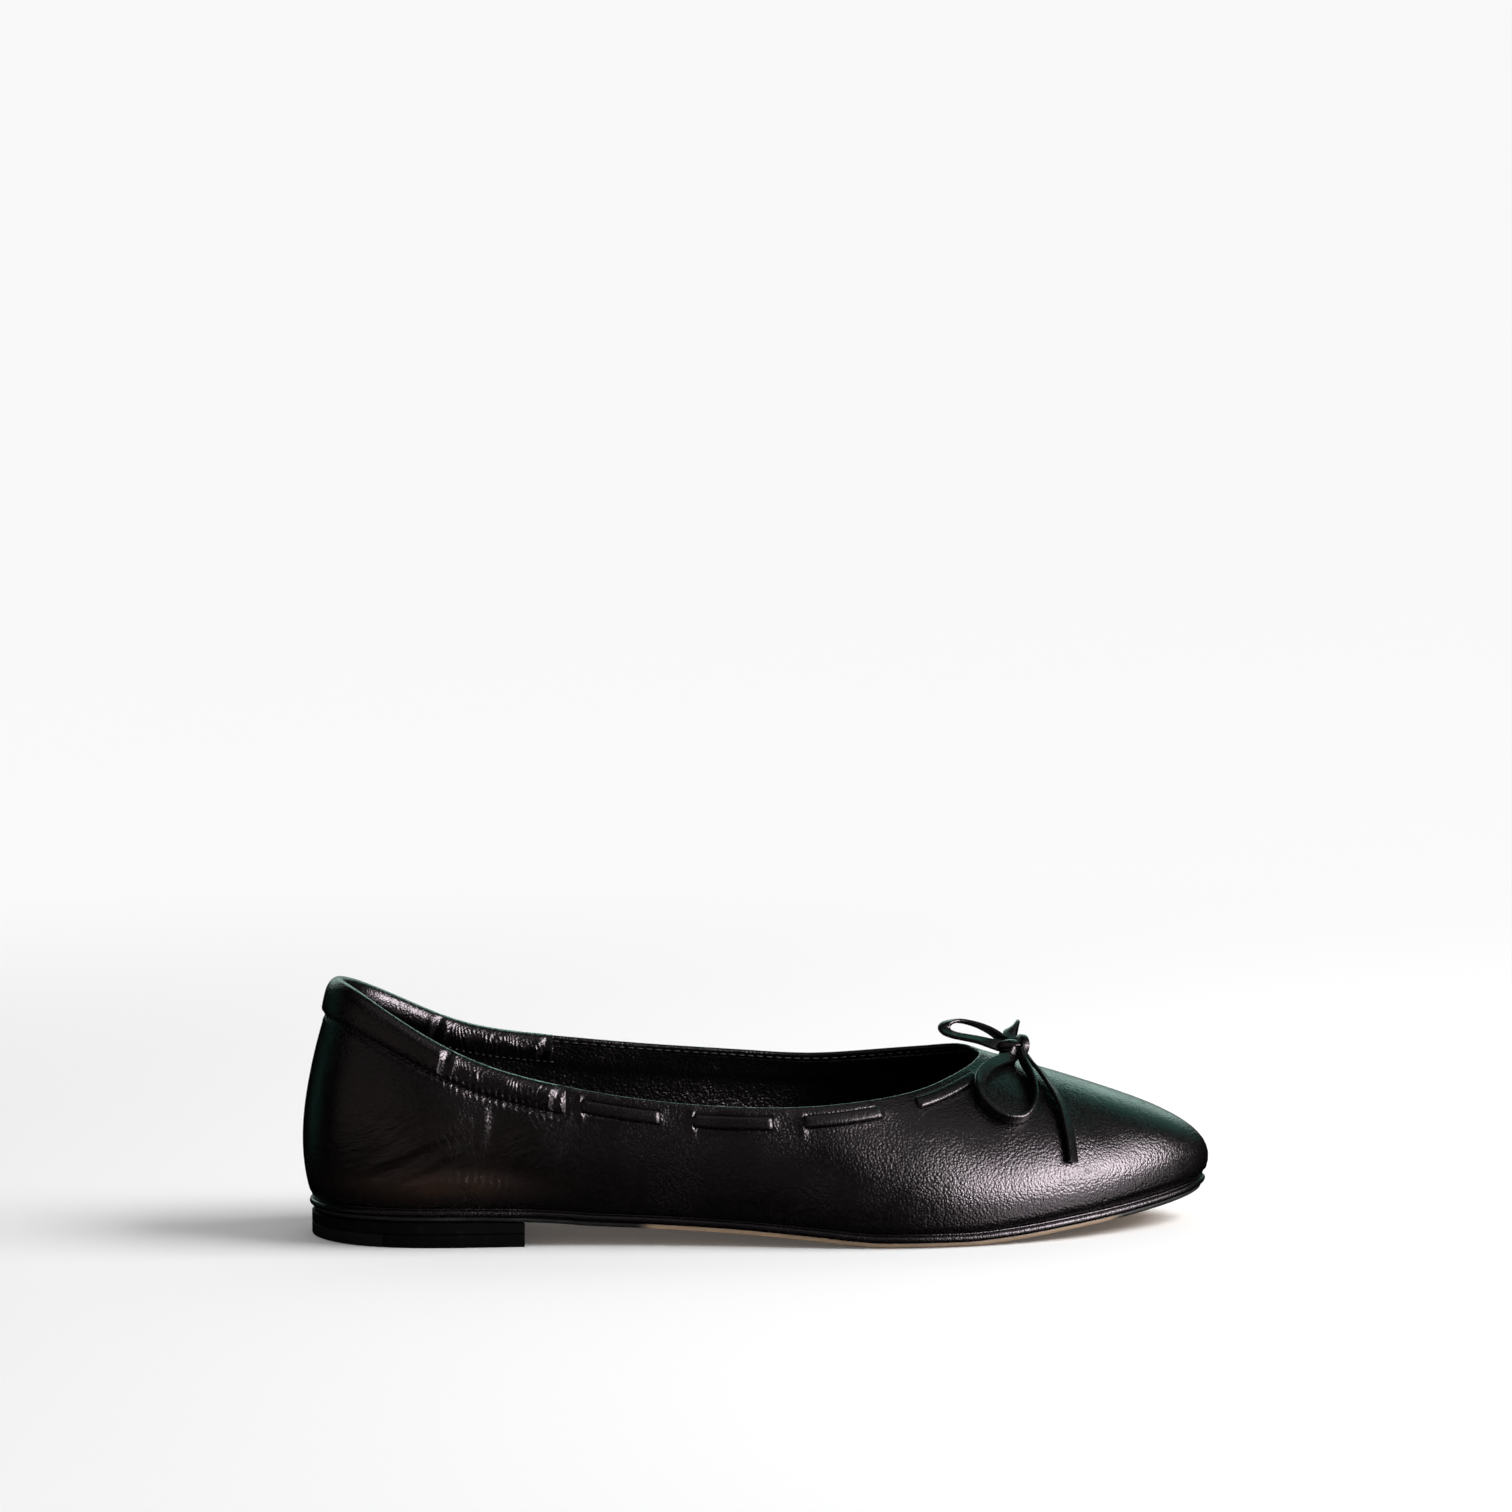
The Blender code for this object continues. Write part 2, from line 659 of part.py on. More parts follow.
class Vamp:
    """The upper's outside as a surface that the bow lies on."""

    def __init__(self):
        grid = ribs(np.linspace(0.25, 0.8, 160), np.linspace(0, 1, 40))
        count, high = grid.shape[:2]
        points = [Vector(p) for p in grid.reshape(-1, 3)]
        faces = [
            (i * high + j, (i + 1) * high + j, (i + 1) * high + j + 1, i * high + j + 1)
            for i in range(count - 1)
            for j in range(high - 1)
        ]
        self.tree = BVHTree.FromPolygons(points, faces)

    def nearest(self, point):
        """The vamp's nearest point, its outward normal there and how far the point lies off it."""
        hit, normal, _, _ = self.tree.find_nearest(Vector(point))
        away = Vector(point) - hit
        return hit, normal, math.copysign(away.length, away.dot(normal))

    def clear(self, point, lift):
        """The same point, or one that far off the vamp where it would lie nearer."""
        hit, normal, off = self.nearest(point)
        return np.array(hit + normal * lift) if off < lift else np.array(point)


def through(points, count):
    """A smooth open line through a few points, by pieces of a Catmull-Rom curve."""
    points = np.asarray(points, float)
    padded = np.concatenate([[2 * points[0] - points[1]], points, [2 * points[-1] - points[-2]]])
    made = []
    for at in np.linspace(0, len(points) - 1, count):
        i = min(int(at), len(points) - 2)
        t = at - i
        a, b, c, d = padded[i : i + 4]
        made.append(0.5 * (2 * b + (c - a) * t + (2 * a - 5 * b + 4 * c - d) * t**2 + (3 * b - a - 3 * c + d) * t**3))
    return np.array(made)


class BowPoint(NamedTuple):
    """A point of the bow from the knot. A strip that would lie too near the vamp rests on it."""

    forward: float
    inward: float
    up: float
    stand: float  # degrees: 0 lies flat, 90 stands on its edge


OUTER_LOOP = (
    BowPoint(-0.0026, -0.0032, 0.0002, 90),
    BowPoint(-0.0066, -0.0082, -0.0030, 90),
    BowPoint(-0.0098, -0.0142, -0.0076, 90),
    BowPoint(-0.0108, -0.0197, -0.0119, 90),
    BowPoint(-0.0080, -0.0244, -0.0154, 90),
    BowPoint(-0.0026, -0.0262, -0.0170, 90),
    BowPoint(0.0020, -0.0228, -0.0154, 90),
    BowPoint(0.0036, -0.0162, -0.0109, 90),
    BowPoint(0.0032, -0.0097, -0.0064, 90),
    BowPoint(0.0014, -0.0040, -0.0006, 90),
)
INNER_LOOP = (
    BowPoint(-0.0036, 0.0002, 0.0000, 80),
    BowPoint(-0.0066, 0.0000, 0.0004, 70),
    BowPoint(-0.0098, 0.0010, 0.0008, 65),
    BowPoint(-0.0130, 0.0023, 0.0012, 65),
    BowPoint(-0.0170, 0.0038, 0.0020, 65),
    BowPoint(-0.0190, 0.0063, 0.0035, 65),
    BowPoint(-0.0175, 0.0088, 0.0048, 65),
    BowPoint(-0.0136, 0.0098, 0.0050, 65),
    BowPoint(-0.0095, 0.0093, 0.0044, 65),
    BowPoint(-0.0062, 0.0073, 0.0036, 70),
    BowPoint(-0.0042, 0.0048, 0.0026, 75),
    BowPoint(-0.0028, 0.0030, 0.0016, 80),
)
OUTER_TAIL = (
    BowPoint(0.0034, -0.0016, -0.0016, 20),
    BowPoint(0.0044, -0.0052, -0.0050, 10),
    BowPoint(0.0062, -0.0102, -0.0090, 0),
    BowPoint(0.0084, -0.0152, -0.0130, 0),
    BowPoint(0.0100, -0.0202, -0.0165, 0),
    BowPoint(0.0110, -0.0256, -0.0210, 0),
    BowPoint(0.0118, -0.0310, -0.0280, 0),
)
INNER_TAIL = (
    BowPoint(0.0006, 0.0034, 0.0016, 10),
    BowPoint(-0.0002, 0.0056, 0.0036, 10),
    BowPoint(0.0008, 0.0092, 0.0042, 25),
    BowPoint(0.0034, 0.0142, 0.0044, 45),
    BowPoint(0.0051, 0.0192, 0.0040, 60),
    BowPoint(0.0058, 0.0252, 0.0028, 75),
    BowPoint(0.0061, 0.0312, 0.0010, 80),
)


def knot_centre():
    """The middle of the knot, over the place where the two laces come out."""
    place, _, normal = skin(np.array([THROAT]), np.array([KNOT_DEPTH]), np.zeros(1))
    return place[0] + normal[0] * KNOT_LIFT


def bow_strip(name, points, knot, vamp, rests, collection):
    """One loop or end of the bow, along points measured from the knot: it rests on the vamp or flies free."""
    line = through(points, 5 * (len(points) - 1) + 1)
    stand = np.radians(line[:, 3:])
    lifts = FIT_GAP + (LACE_WIDTH * np.sin(stand[:, 0]) + LACE_THICKNESS * np.cos(stand[:, 0])) / 2
    centres = np.array([vamp.clear(knot + p, lift) for p, lift in zip(line[:, :3], lifts)])
    up = np.array([vamp.nearest(c if rests else knot)[1] for c in centres])
    side = unit(np.cross(np.gradient(centres, axis=0), up))
    rings = ribbon(centres, np.cos(stand) * side + np.sin(stand) * up, LACE_WIDTH, LACE_THICKNESS)
    return put_in(name, mesh_from(name, rings, caps=True), collection)


def knot(centre, collection):
    """The knot as a small rounded body."""
    mesh = bpy.data.meshes.new("lace_knot")
    body = bmesh.new()
    bmesh.ops.create_uvsphere(body, u_segments=16, v_segments=10, radius=1)
    bmesh.ops.scale(body, vec=Vector(KNOT_RADII), verts=body.verts)
    bmesh.ops.translate(body, vec=Vector(centre), verts=body.verts)
    body.to_mesh(mesh)
    body.free()
    mesh.shade_smooth()
    return put_in("lace_knot", mesh, collection)


def bow(collection):
    """The bow at the throat: its knot, two loops and two ends."""
    vamp = Vamp()
    centre = knot_centre()
    made = [knot(centre, collection)]
    for name, points, rests in (
        ("bow_loop_outer", OUTER_LOOP, True),
        ("bow_loop_inner", INNER_LOOP, False),
        ("bow_end_outer", OUTER_TAIL, True),
        ("bow_end_inner", INNER_TAIL, False),
    ):
        made.append(bow_strip(name, points, centre, vamp, rests, collection))
    return made


def main():
    """Builds the shoe."""
    clear_scene()
    shoe = bpy.data.collections.new("ballet_flat")
    cutters = bpy.data.collections.new("cutters")
    for made in (shoe, cutters):
        bpy.context.scene.collection.children.link(made)
    black = material("black_leather", (0.012, 0.011, 0.012), 0.42)
    edge = material("black_edge", (0.010, 0.010, 0.010), 0.35)
    tan = material("tan_leather", (0.52, 0.33, 0.22), 0.6)
    rubber = material("black_rubber", (0.018, 0.018, 0.019), 0.6)
    for made in (
        upper(shoe, cutters),
        collar_casing(shoe),
        lace("lace_outer", -1, shoe, cutters),
        lace("lace_inner", 1, shoe, cutters),
        *bow(shoe),
        insole(shoe),
    ):
        made.data.materials.append(black)
    midsole(shoe).data.materials.append(black)
    outsole(shoe).data.materials.append(tan)
    lift, tip, front = heel_pieces(shoe)
    lift.data.materials.append(edge)
    front.data.materials.append(edge)
    tip.data.materials.append(rubber)


main()
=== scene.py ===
"""The looks of a black drawstring ballet flat for the right foot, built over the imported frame.

Metres, +Z up, +X to the toe, +Y to the inner side, as in the frame. The origin is on the floor under the
middle of the shoe.
"""

import logging
import math
from collections.abc import Callable, Sequence
from dataclasses import dataclass, field
from enum import Enum
from typing import Any, NamedTuple

import bmesh
import bpy
import numpy as np
from mathutils import Matrix, Vector
from mathutils.bvhtree import BVHTree

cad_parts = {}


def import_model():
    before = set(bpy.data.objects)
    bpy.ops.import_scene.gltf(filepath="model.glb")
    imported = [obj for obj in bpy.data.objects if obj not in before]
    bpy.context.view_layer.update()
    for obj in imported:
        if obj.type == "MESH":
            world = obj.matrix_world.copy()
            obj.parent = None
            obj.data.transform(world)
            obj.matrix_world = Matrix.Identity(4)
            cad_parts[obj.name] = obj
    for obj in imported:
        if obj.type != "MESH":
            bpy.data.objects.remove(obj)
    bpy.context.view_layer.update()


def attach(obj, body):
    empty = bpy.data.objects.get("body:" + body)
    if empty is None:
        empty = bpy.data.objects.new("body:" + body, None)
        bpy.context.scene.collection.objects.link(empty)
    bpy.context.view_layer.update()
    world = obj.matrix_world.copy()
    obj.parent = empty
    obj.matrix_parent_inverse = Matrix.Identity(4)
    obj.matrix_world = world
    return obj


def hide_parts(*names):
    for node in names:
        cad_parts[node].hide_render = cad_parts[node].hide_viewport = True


LOG = logging.getLogger("ballet_flat")
BODY = "root"
Array = np.ndarray
Colour = tuple[float, float, float]


class Side(Enum):
    """The two sides of the shoe, by the way that a place round the topline goes from the throat."""

    OUTER = -1
    INNER = 1


class Slot(Enum):
    """The record's material slots."""

    UPPER = "upper_leather"
    LACE = "lace_leather"
    SOCK = "sock_leather"
    RAND = "rand_leather"
    SOLE = "sole_leather"
    HEEL = "heel_leather"
    TIP = "heel_rubber"


# Small sums


def unit(vectors: Array) -> Array:
    """The same vectors, each one long."""
    return vectors / np.linalg.norm(vectors, axis=-1, keepdims=True)


def smooth(share: Array | float) -> Array:
    """A soft step from 0 to 1."""
    share = np.clip(share, 0.0, 1.0)
    return share * share * (3 - 2 * share)


def bell(share: Array | float) -> Array:
    """A soft hump, 1 in the middle and near 0 from 2 on."""
    return np.exp(-np.square(share))


def lengths_along(line: Array) -> Array:
    """How far along an open line each of its points lies."""
    return np.concatenate([[0.0], np.cumsum(np.linalg.norm(np.diff(line, axis=0), axis=1))])


def through(points: Array, count: int) -> Array:
    """A smooth open line through a few points, by pieces of a Catmull-Rom curve.

    Args:
        points: The points to go through, in order.
        count: How many points to return.

    Returns:
        Points along the line, evenly over its pieces.
    """
    points = np.asarray(points, float)
    padded = np.concatenate([[2 * points[0] - points[1]], points, [2 * points[-1] - points[-2]]])
    at = np.linspace(0, len(points) - 1, count)
    i = np.minimum(at.astype(int), len(points) - 2)
    t = (at - i)[:, None]
    a, b, c, d = (padded[i + k] for k in range(4))
    return 0.5 * (2 * b + (c - a) * t + (2 * a - 5 * b + 4 * c - d) * t**2 + (3 * b - a - 3 * c + d) * t**3)


@dataclass(frozen=True)
class Waves:
    """A soft irregular field of about -1 to 1, from sines in seeded directions."""

    seed: int
    count: int = 9

    def __call__(self, places: Array, periods: Sequence[float]) -> Array:
        """Reads the field.

        Args:
            places: Points, their numbers on the last axis.
            periods: The usual wavelength along each of those numbers.

        Returns:
            One value for each point.
        """
        draw = np.random.default_rng(self.seed)
        ways = unit(draw.normal(size=(self.count, places.shape[-1])))
        ways *= draw.uniform(0.6, 1.5, (self.count, 1))
        turns = places / np.asarray(periods) * 2 * math.pi
        waves = np.sin(turns @ ways.T + draw.uniform(0, 2 * math.pi, self.count))
        return waves.sum(-1) * 0.8 / math.sqrt(self.count)


class ClosedSpline:
    """A smooth closed line through rows of numbers, by cubic pieces."""

    def __init__(self, knots: Array, rows: Array) -> None:
        """Fits the line.

        Args:
            knots: Where each row stands, from 0, with 1 at the end.
            rows: The rows of numbers.
        """
        self.knots = np.asarray(knots, float)
        self.rows = np.asarray(rows, float)
        count = len(self.rows)
        spans = np.diff(self.knots)
        matrix = np.zeros((count, count))
        right = np.zeros_like(self.rows)
        for i in range(count):
            before, after = spans[i - 1], spans[i]
            matrix[i, i - 1] += before
            matrix[i, i] += 2 * (before + after)
            matrix[i, (i + 1) % count] += after
            step_after = (self.rows[(i + 1) % count] - self.rows[i]) / after
            step_before = (self.rows[i] - self.rows[i - 1]) / before
            right[i] = 6 * (step_after - step_before)
        self.bends = np.linalg.solve(matrix, right)

    def __call__(self, at: Array) -> Array:
        """The row of numbers at each place, where 0 and 1 are the same place."""
        at = np.mod(np.asarray(at, float), 1.0)
        i = np.clip(np.searchsorted(self.knots, at, side="right") - 1, 0, len(self.rows) - 1)
        j = (i + 1) % len(self.rows)
        span = (self.knots[i + 1] - self.knots[i])[..., None]
        b = (at - self.knots[i])[..., None] / span
        a = 1 - b
        curve = (a**3 - a) * self.bends[i] + (b**3 - b) * self.bends[j]
        return a * self.rows[i] + b * self.rows[j] + curve * span**2 / 6


# The last


class Rib(NamedTuple):
    """One section of the last, from the feather line up to the topline, in shares and degrees."""

    foot_along: float  # of the sole's length, from the back
    foot_across: float  # of the ball's width, towards the inner side
    top_along: float
    top_across: float
    top_height: float  # of the back's height
    lean_low: float  # outward, at the feather line
    full_low: float  # handle, of the rib's span
    lean_top: float  # inward, at the topline
    full_top: float


RIBS = (
    Rib(0.006, 0.013, 0.0365, 0.013, 1.000, 17, 0.30, 21, 0.35),  # back seam
    Rib(0.035, -0.208, 0.058, -0.169, 0.970, 17, 0.30, 20, 0.35),
    Rib(0.104, -0.325, 0.110, -0.266, 0.855, 17, 0.30, 17, 0.35),
    Rib(0.188, -0.345, 0.184, -0.312, 0.718, 17, 0.30, 14, 0.35),
    Rib(0.273, -0.348, 0.269, -0.331, 0.629, 15, 0.32, 12, 0.35),
    Rib(0.382, -0.377, 0.382, -0.357, 0.562, 13, 0.33, 15, 0.36),
    Rib(0.495, -0.435, 0.495, -0.383, 0.537, 14, 0.33, 25, 0.38),
    Rib(0.596, -0.494, 0.583, -0.364, 0.545, 14, 0.33, 38, 0.40),
    Rib(0.684, -0.506, 0.656, -0.292, 0.571, 14, 0.32, 50, 0.42),  # outer ball
    Rib(0.769, -0.461, 0.700, -0.201, 0.607, 16, 0.30, 58, 0.46),
    Rib(0.850, -0.372, 0.727, -0.117, 0.638, 19, 0.28, 65, 0.52),
    Rib(0.930, -0.225, 0.741, -0.045, 0.658, 24, 0.26, 70, 0.57),
    Rib(1.000, 0.032, 0.748, 0.032, 0.672, 27, 0.24, 73, 0.60),  # toe tip
    Rib(0.930, 0.272, 0.7415, 0.104, 0.678, 24, 0.26, 71, 0.57),
    Rib(0.850, 0.408, 0.727, 0.175, 0.681, 19, 0.28, 66, 0.52),
    Rib(0.769, 0.484, 0.696, 0.244, 0.664, 16, 0.30, 58, 0.46),
    Rib(0.684, 0.494, 0.648, 0.305, 0.644, 15, 0.32, 46, 0.42),  # inner ball
    Rib(0.592, 0.422, 0.575, 0.348, 0.624, 18, 0.33, 32, 0.40),
    Rib(0.495, 0.344, 0.495, 0.351, 0.639, 22, 0.33, 20, 0.38),
    Rib(0.382, 0.321, 0.382, 0.338, 0.672, 22, 0.33, 14, 0.36),
    Rib(0.273, 0.348, 0.269, 0.331, 0.714, 18, 0.32, 12, 0.35),
    Rib(0.188, 0.368, 0.184, 0.318, 0.766, 18, 0.30, 14, 0.35),
    Rib(0.104, 0.344, 0.110, 0.279, 0.876, 17, 0.30, 17, 0.35),
    Rib(0.035, 0.234, 0.058, 0.188, 0.965, 17, 0.30, 20, 0.35),
)
TOE_RIB = 12


class SoleStep(NamedTuple):
    """Height of the outsole's underside at a place along the shoe."""

    along: float  # of the sole's length
    of_heel: float  # of the heel's height
    of_spring: float  # of the toe spring


SOLE_PROFILE = (
    SoleStep(0.000, 1.00, 0.00),
    SoleStep(0.090, 1.05, 0.00),
    SoleStep(0.150, 1.05, 0.00),
    SoleStep(0.232, 0.98, 0.00),  # heel breast
    SoleStep(0.272, 0.90, 0.00),
    SoleStep(0.305, 0.80, 0.00),
    SoleStep(0.385, 0.67, 0.00),
    SoleStep(0.466, 0.50, 0.00),
    SoleStep(0.555, 0.22, 0.00),
    SoleStep(0.595, 0.07, 0.00),
    SoleStep(0.625, 0.00, 0.00),  # on the floor from here
    SoleStep(0.712, 0.00, 0.00),  # to here
    SoleStep(0.756, 0.00, 0.07),
    SoleStep(0.837, 0.00, 0.31),
    SoleStep(0.925, 0.00, 0.60),
    SoleStep(0.978, 0.00, 0.84),
    SoleStep(1.000, 0.00, 1.00),
)


@dataclass
class Last:
    """The form that the leather is pulled over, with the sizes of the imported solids."""

    sole_length: float = 0.249
    ball_width: float = 0.077
    back_height: float = 0.0708
    heel_height: float = 0.0067
    toe_spring: float = 0.0089
    outsole_thickness: float = 0.0012
    midsole_thickness: float = 0.0024
    wall: float = 0.0014
    gap: float = 0.0003
    samples: int = 301
    spline: ClosedSpline = field(init=False)
    throat: float = field(init=False)

    def __post_init__(self) -> None:
        """Sets the ribs round the sole by the distance between their feet."""
        foot = np.array([(self.x_at(r.foot_along), r.foot_across * self.ball_width) for r in RIBS])
        steps = np.linalg.norm(np.roll(foot, -1, axis=0) - foot, axis=1)
        places = np.concatenate([[0], np.cumsum(steps)]) / steps.sum()
        self.spline = ClosedSpline(places, RIBS)
        self.throat = places[TOE_RIB]

    def x_at(self, along: Array | float) -> Array:
        """The place along the shoe of a share of its length."""
        return (np.asarray(along, float) - 0.5) * self.sole_length

    def under(self, x: Array) -> Array:
        """Height of the outsole's underside over the floor.

        Args:
            x: Places along the shoe.

        Returns:
            One height for each, without overshoot between the profile's rows.
        """
        at = self.x_at([step.along for step in SOLE_PROFILE])
        lift = np.array([s.of_heel * self.heel_height + s.of_spring * self.toe_spring for s in SOLE_PROFILE])
        slopes = np.diff(lift) / np.diff(at)
        before, after = slopes[:-1], slopes[1:]
        same_way = before * after > 0
        middle = np.where(same_way, 2 * before * after / np.where(same_way, before + after, 1), 0)
        tangents = np.concatenate([[slopes[0]], middle, [slopes[-1]]])
        x = np.clip(x, at[0], at[-1])
        i = np.clip(np.searchsorted(at, x, side="right") - 1, 0, len(at) - 2)
        span = at[i + 1] - at[i]
        t = (x - at[i]) / span
        ends = (1 + 2 * t) * (1 - t) ** 2 * lift[i] + t * t * (3 - 2 * t) * lift[i + 1]
        return ends + (t * (1 - t) ** 2 * tangents[i] - t * t * (1 - t) * tangents[i + 1]) * span

    def feather(self, x: Array) -> Array:
        """Height of the line where the upper meets the sole."""
        return self.under(x) + self.outsole_thickness + self.midsole_thickness

    def foot_line(self, at: Array) -> Array:
        """Points of the feather line in plan."""
        row = self.spline(at)
        return np.stack([self.x_at(row[..., 0]), row[..., 1] * self.ball_width], -1)

    def topline(self, at: Array) -> Array:
        """Points of the finished topline."""
        row = self.spline(at)
        plan = [self.x_at(row[..., 2]), row[..., 3] * self.ball_width]
        return np.stack([*plan, row[..., 4] * self.back_height], -1)

    def outward(self, line: Callable[[Array], Array], at: Array) -> Array:
        """The outward way in plan of a closed line that goes from the back by the outer side."""
        step = 1e-4
        along = unit((line(at + step) - line(at - step))[..., :2])
        return np.stack([along[..., 1], -along[..., 0], np.zeros_like(along[..., 0])], -1)

    def inset_line(self, at: Array, inset: Array | float) -> Array:
        """The feather line in plan, so far in."""
        away = self.outward(self.foot_line, at)[..., :2]
        return self.foot_line(at) - away * np.asarray(inset, float)[..., None]

    def ribs(self, at: Array) -> Array:
        """The outside of the upper as ribs from the topline down.

        Args:
            at: Places round the shoe.

        Returns:
            For each place, the points of its rib.
        """
        row = self.spline(at)
        plan = self.foot_line(at)
        foot = np.concatenate([plan, (self.feather(plan[..., 0]) + self.gap)[..., None]], -1)
        top = self.topline(at)
        out_low, out_top = self.outward(self.foot_line, at), self.outward(self.topline, at)
        up = np.array([0.0, 0.0, 1.0])
        span = np.linalg.norm(top - foot, axis=-1, keepdims=True)
        low, high = np.radians(row[..., 5:6]), np.radians(row[..., 7:8])
        low_handle = foot + span * row[..., 6:7] * (np.cos(low) * up + np.sin(low) * out_low)
        top_handle = top - span * row[..., 8:9] * (np.cos(high) * up - np.sin(high) * out_top)
        t = np.linspace(1, 0, self.samples)[:, None, None]
        low_part = (1 - t) ** 3 * foot + 3 * t * (1 - t) ** 2 * low_handle
        return (low_part + 3 * t * t * (1 - t) * top_handle + t**3 * top).swapaxes(0, 1)

    def girths(self, at: Array) -> Array:
        """How long each rib is, from the topline to the feather line."""
        return np.linalg.norm(np.diff(self.ribs(at), axis=1), axis=2).sum(1)

    def points(self, at: Array, depth: Array) -> Array:
        """Points of the upper's outside.

        Args:
            at: Places round the shoe, one for each row of depth.
            depth: How far below the topline along the rib. Under 0 is above it, straight on.

        Returns:
            A point for each number of depth.
        """
        made = np.empty(depth.shape + (3,))
        for i, line in enumerate(self.ribs(at)):
            gone = lengths_along(line)
            for k in range(3):
                made[i, :, k] = np.interp(depth[i], gone, line[:, k])
            made[i] += np.minimum(depth[i], 0)[:, None] * unit(line[1] - line[0])
        return made

    def skin(self, at: Array, depth: Array, lift: Array | float = 0.0) -> "Skin":
        """Points off the upper's outside, with the directions there.

        Args:
            at: Places round the shoe.
            depth: How far below the topline, a row for each place.
            lift: How far off the outside, outwards.

        Returns:
            The points and their directions.
        """
        step = 5e-4
        place = self.points(at, depth)
        along = unit(self.points(at + step, depth) - self.points(at - step, depth))
        down = unit(self.points(at, depth + step) - self.points(at, depth - step))
        normal = unit(np.cross(down, along))
        return Skin(place + np.asarray(lift, float)[..., None] * normal, along, down, normal)


class Skin(NamedTuple):
    """Points on the leather's outside with the directions there."""

    place: Array
    along: Array  # from the back to the toe by the outer side
    down: Array
    normal: Array


# Meshes


def mesh_of(name: str, points: Array, faces: Sequence[Sequence[int]], crease: float = 40.0) -> bpy.types.Mesh:
    """A mesh of points and faces, smooth but for its sharp edges.

    Args:
        name: The mesh's name.
        points: Its corners.
        faces: Indices of each face's corners.
        crease: The angle in degrees from which an edge stays sharp.

    Returns:
        The mesh, its doubles merged and its faces pointing outwards.
    """
    mesh = bpy.data.meshes.new(name)
    mesh.from_pydata(np.asarray(points, float).reshape(-1, 3).tolist(), [], faces)
    body = bmesh.new()
    body.from_mesh(mesh)
    bmesh.ops.remove_doubles(body, verts=body.verts, dist=1e-7)
    bmesh.ops.recalc_face_normals(body, faces=body.faces)
    body.to_mesh(mesh)
    body.free()
    mesh.shade_smooth()
    mesh.set_sharp_from_angle(angle=math.radians(crease))
    return mesh


def between(low: int, high: int, around: int) -> list[tuple[int, ...]]:
    """The faces between two rings of points, from the indices of their first points."""
    steps = [(j, (j + 1) % around) for j in range(around)]
    return [(low + j, low + k, high + k, high + j) for j, k in steps]


def tube(name: str, rings: Array, closed: bool = False) -> bpy.types.Mesh:
    """A mesh through closed rings of points, joined one to the next.

    Args:
        name: The mesh's name.
        rings: The rings, each with the same number of points.
        closed: Whether the last ring joins the first. Otherwise both ends are capped.

    Returns:
        The mesh.
    """
    count, around = rings.shape[:2]
    faces = []
    for i in range(count if closed else count - 1):
        faces += between(i * around, (i + 1) % count * around, around)
    if not closed:
        faces += [tuple(range(around))[::-1], tuple(range((count - 1) * around, count * around))]
    return mesh_of(name, rings, faces)


def put_in(mesh: bpy.types.Mesh) -> bpy.types.Object:
    """A new object of a mesh, at the origin."""
    made = bpy.data.objects.new(mesh.name, mesh)
    bpy.context.scene.collection.objects.link(made)
    return made


def plain(piece: bpy.types.Object) -> bpy.types.Object:
    """The same object with its modifiers turned into its mesh."""
    graph = bpy.context.evaluated_depsgraph_get()
    mesh = bpy.data.meshes.new_from_object(piece.evaluated_get(graph), depsgraph=graph)
    piece.modifiers.clear()
    piece.data = mesh
    return piece


def weigh(mesh: bpy.types.Mesh, name: str, weights: Array | float) -> None:
    """Keeps a number on each point of a mesh, for its material."""
    kept = mesh.attributes.new(name, "FLOAT", "POINT").data
    kept.foreach_set("value", np.broadcast_to(weights, len(kept)).astype(np.float32))


def walled(
    name: str,
    points: Array,
    faces: Sequence[Sequence[int]],
    weights: dict[str, Array | float],
    thickness: float,
    offset: int,
    crease: float,
) -> bpy.types.Object:
    """A sheet of leather with a thickness.

    Args:
        name: The piece's name.
        points: The points of the sheet.
        faces: Indices of each face's corners.
        weights: Numbers to keep on its points, by name.
        thickness: Its thickness.
        offset: 1 to build it on the faces' front, -1 on their back.
        crease: The angle in degrees from which an edge stays sharp.

    Returns:
        The object.
    """
    mesh = bpy.data.meshes.new(name)
    mesh.from_pydata(points.reshape(-1, 3).tolist(), [], faces)
    for weight, numbers in weights.items():
        weigh(mesh, weight, numbers)
    piece = put_in(mesh)
    wall = piece.modifiers.new("leather", "SOLIDIFY")
    wall.thickness = thickness
    wall.offset = offset
    plain(piece).data.shade_smooth()
    piece.data.set_sharp_from_angle(angle=math.radians(crease))
    return piece


def settle(piece: bpy.types.Object, finish: bpy.types.Material, slot: Slot, *nodes: str) -> bpy.types.Object:
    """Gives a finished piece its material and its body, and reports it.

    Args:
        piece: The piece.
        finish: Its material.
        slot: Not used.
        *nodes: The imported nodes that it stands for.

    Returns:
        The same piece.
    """
    piece.data.materials.clear()
    piece.data.materials.append(finish)
    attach(piece, BODY)
    if nodes:
        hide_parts(*nodes)
    LOG.info("%s: %d faces, %s", piece.name, len(piece.data.polygons), finish.name)
    return piece


# Shader maths


class Value:
    """A number in a material. Python's operators on it add Math nodes."""

    def __init__(self, nodes: "Nodes", socket: bpy.types.NodeSocket) -> None:
        """Wraps a socket of one material's nodes."""
        self.nodes = nodes
        self.socket = socket

    def __add__(self, other: "Value | float") -> "Value":
        """The sum."""
        return self.nodes.maths("ADD", self, other)

    __radd__ = __add__

    def __mul__(self, other: "Value | float") -> "Value":
        """The product."""
        return self.nodes.maths("MULTIPLY", self, other)

    __rmul__ = __mul__

    def __sub__(self, other: "Value | float") -> "Value":
        """The difference."""
        return self.nodes.maths("SUBTRACT", self, other)

    def __rsub__(self, other: float) -> "Value":
        """The difference from a number."""
        return self.nodes.maths("SUBTRACT", other, self)


